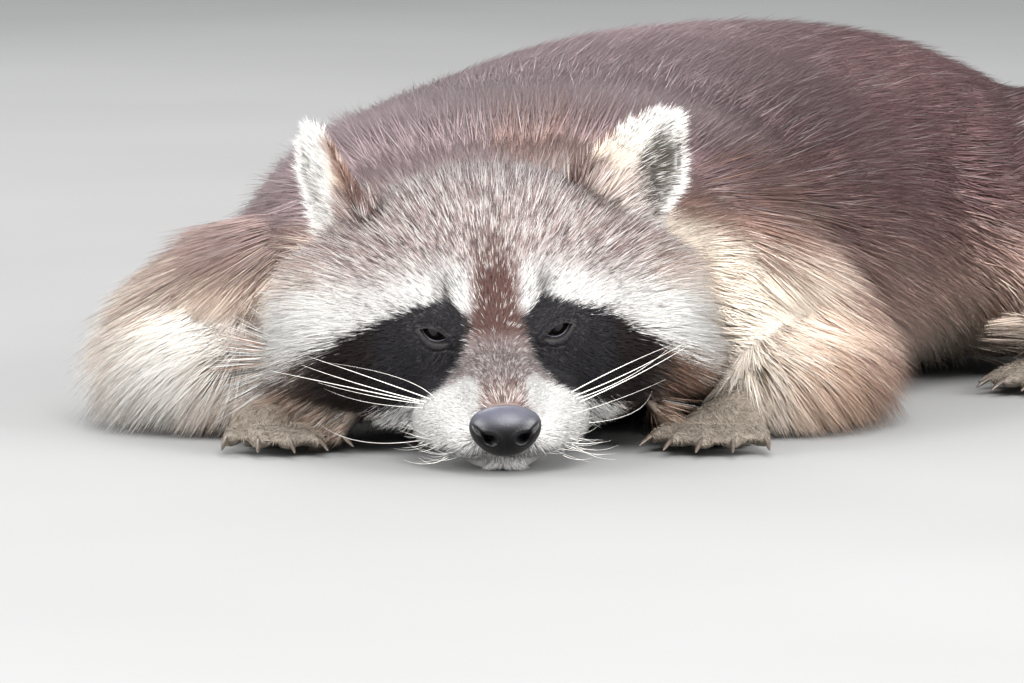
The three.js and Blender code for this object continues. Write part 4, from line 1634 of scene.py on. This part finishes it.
def makeClawMaterial():
    material, shader, wire = newMaterial("horn", Roughness=0.35)
    place = wire.node("ShaderNodeTexCoord", out=3)
    streak = place.scaled((1.0, 0.2, 1.0)).noise(900.0, 3.0)
    horn = streak.ramp([(0.25, (0.018, 0.013, 0.010)), (0.75, (0.085, 0.062, 0.045))])
    feed(shader, Base_Color=horn, Roughness=streak * 0.3 + 0.2, Normal=streak.bumped(0.0001, 0.4))
    return material


def rootClaws(claws, nodes):  # draws each claw's root out, into its toe
    centres = np.array([middleOf(node) for node in nodes]) * mm
    points = pointsOf(claws.data)
    owner = np.argmin(np.linalg.norm(points[:, None] - centres, axis=2), axis=1)
    for i in range(len(nodes)):
        mine = points[owner == i]
        _, way = clawWay(mine, nodes[i])
        along = mine @ way
        share = (along.max() - along) / np.ptp(along)
        points[owner == i] = mine - way * (share ** 2 * toePlan["clawRoot"] * mm)[:, None]
    setPoints(claws.data, points)


def makeClaws():
    material = makeClawMaterial()
    for paw in ("fore_left", "fore_right", "hind_left", "hind_right"):
        nodes = [f"{paw}_paw_claw_{i}" for i in range(1, 6)]
        claws = joinedCopies(nodes)
        claws.name = "claws_" + paw
        rootClaws(claws, nodes)
        editAll(claws, bpy.ops.mesh.remove_doubles, threshold=mergeReach)
        applyModifier(claws, "SUBSURF", levels=2, render_levels=2)
        smoothFaces(claws.data)
        finishPiece(claws, "claw", material, *nodes)


makeClaws()
print("claws are set")


whiskerPlan = {
    "radius": 0.22,
    "steps": 16,
    "sides": 5,
    # root, middle and end in the head's place, with the thickness as a share
    "right": [
        ((-25.4, -29.7, -15.3), (-40.0, -11.1, -12.7), (-66.5, -0.8, -9.4), 0.5),
        ((-26.6, -30.5, -16.1), (-48.6, -8.6, -13.8), (-71.9, 3.8, -8.4), 1.0),
        ((-28.2, -30.4, -17.2), (-52.5, -7.0, -16.9), (-74.1, 6.4, -12.7), 1.05),
        ((-30.7, -25.3, -18.8), (-58.1, -3.8, -18.6), (-86.3, -1.3, -11.9), 1.1),
        ((-29.5, -31.0, -19.2), (-50.4, -6.6, -24.2), (-65.9, 2.2, -21.1), 0.5),
        ((-28.6, -34.6, -30.6), (-52.2, -6.1, -40.2), (-69.0, 0.3, -33.9), 0.6),
        ((-29.1, -30.3, -17.9), (-48.1, -8.8, -21.1), (-68.3, 4.1, -19.2), 0.8),
    ],
    "left": [
        ((26.6, -29.3, -15.9), (47.1, -8.9, -13.2), (66.8, 0.1, -8.3), 1.0),
        ((27.4, -31.5, -16.8), (50.6, -7.7, -15.8), (72.6, 5.2, -9.1), 1.1),
        ((29.6, -32.3, -18.9), (53.3, -6.3, -17.5), (75.1, 8.1, -10.7), 1.1),
        ((28.5, -31.8, -17.8), (49.4, -8.2, -17.8), (65.3, -1.1, -9.5), 0.9),
        ((26.7, -41.6, -20.3), (46.6, -8.4, -26.0), (64.5, 1.2, -22.4), 0.55),
        ((27.5, -37.3, -25.7), (49.8, -7.2, -33.0), (58.7, -2.3, -25.6), 0.5),
    ],
    "short": 34,  # short ones on each side
    "shortRadius": 0.11,
}


def makeWhiskerMaterial():
    material, shader, wire = newMaterial("whiskerHair", Roughness=0.35, Specular_IOR_Level=0.6)
    strand = wire.node("ShaderNodeTexCoord", out=3).noise(400.0, 2.0)
    feed(shader, Base_Color=strand.ramp([(0.3, (0.62, 0.58, 0.52)), (0.7, (0.9, 0.88, 0.84))]))
    return material


def whiskerHairs():  # each hair's root, middle, end and radius
    draw = np.random.default_rng(31)
    hairs = []
    for side, name in ((-1, "right"), (1, "left")):
        for root, middle, end, share in whiskerPlan[name]:
            hairs.append((np.array(root), np.array(middle), np.array(end), whiskerPlan["radius"] * share))
        for _ in range(whiskerPlan["short"]):
            a = np.array([side * draw.uniform(12, 25), draw.uniform(-50, -24), draw.uniform(-35, -24)])
            way = [side * draw.uniform(0.6, 1.2), draw.uniform(-0.1, 0.7), draw.uniform(-0.5, 0.1)]
            end = a + unit(np.array(way)) * draw.uniform(10, 22)
            middle = (a + end) / 2 - np.array([0, 0, draw.uniform(0.5, 3)])
            hairs.append((a, middle, end, whiskerPlan["shortRadius"]))
    return hairs


def makeWhiskers():
    points, faces = [], []
    for a, middle, b, radius in whiskerHairs():
        t = np.linspace(0, 1, whiskerPlan["steps"])[:, None]
        control = 2 * middle - (a + b) / 2
        path = a * (1 - t) ** 2 + control * 2 * t * (1 - t) + b * t ** 2
        way = unit(np.gradient(path, axis=0))
        first = unit(np.cross(way, up))
        second = np.cross(way, first)
        taper = radius * (1 - t * 0.92) ** 0.8
        own, around = tube(path, first, second, taper[:, None], whiskerPlan["sides"], False)
        faces += [tuple(len(points) + corner for corner in face) for face in around]
        points += list(own)
    whiskers = newMesh("whiskers", fromHead(np.array(points)), faces)
    editAll(whiskers, bpy.ops.mesh.normals_make_consistent, inside=False)
    finishPiece(whiskers, "coat_pale", makeWhiskerMaterial())


makeWhiskers()
print("whiskers are set")
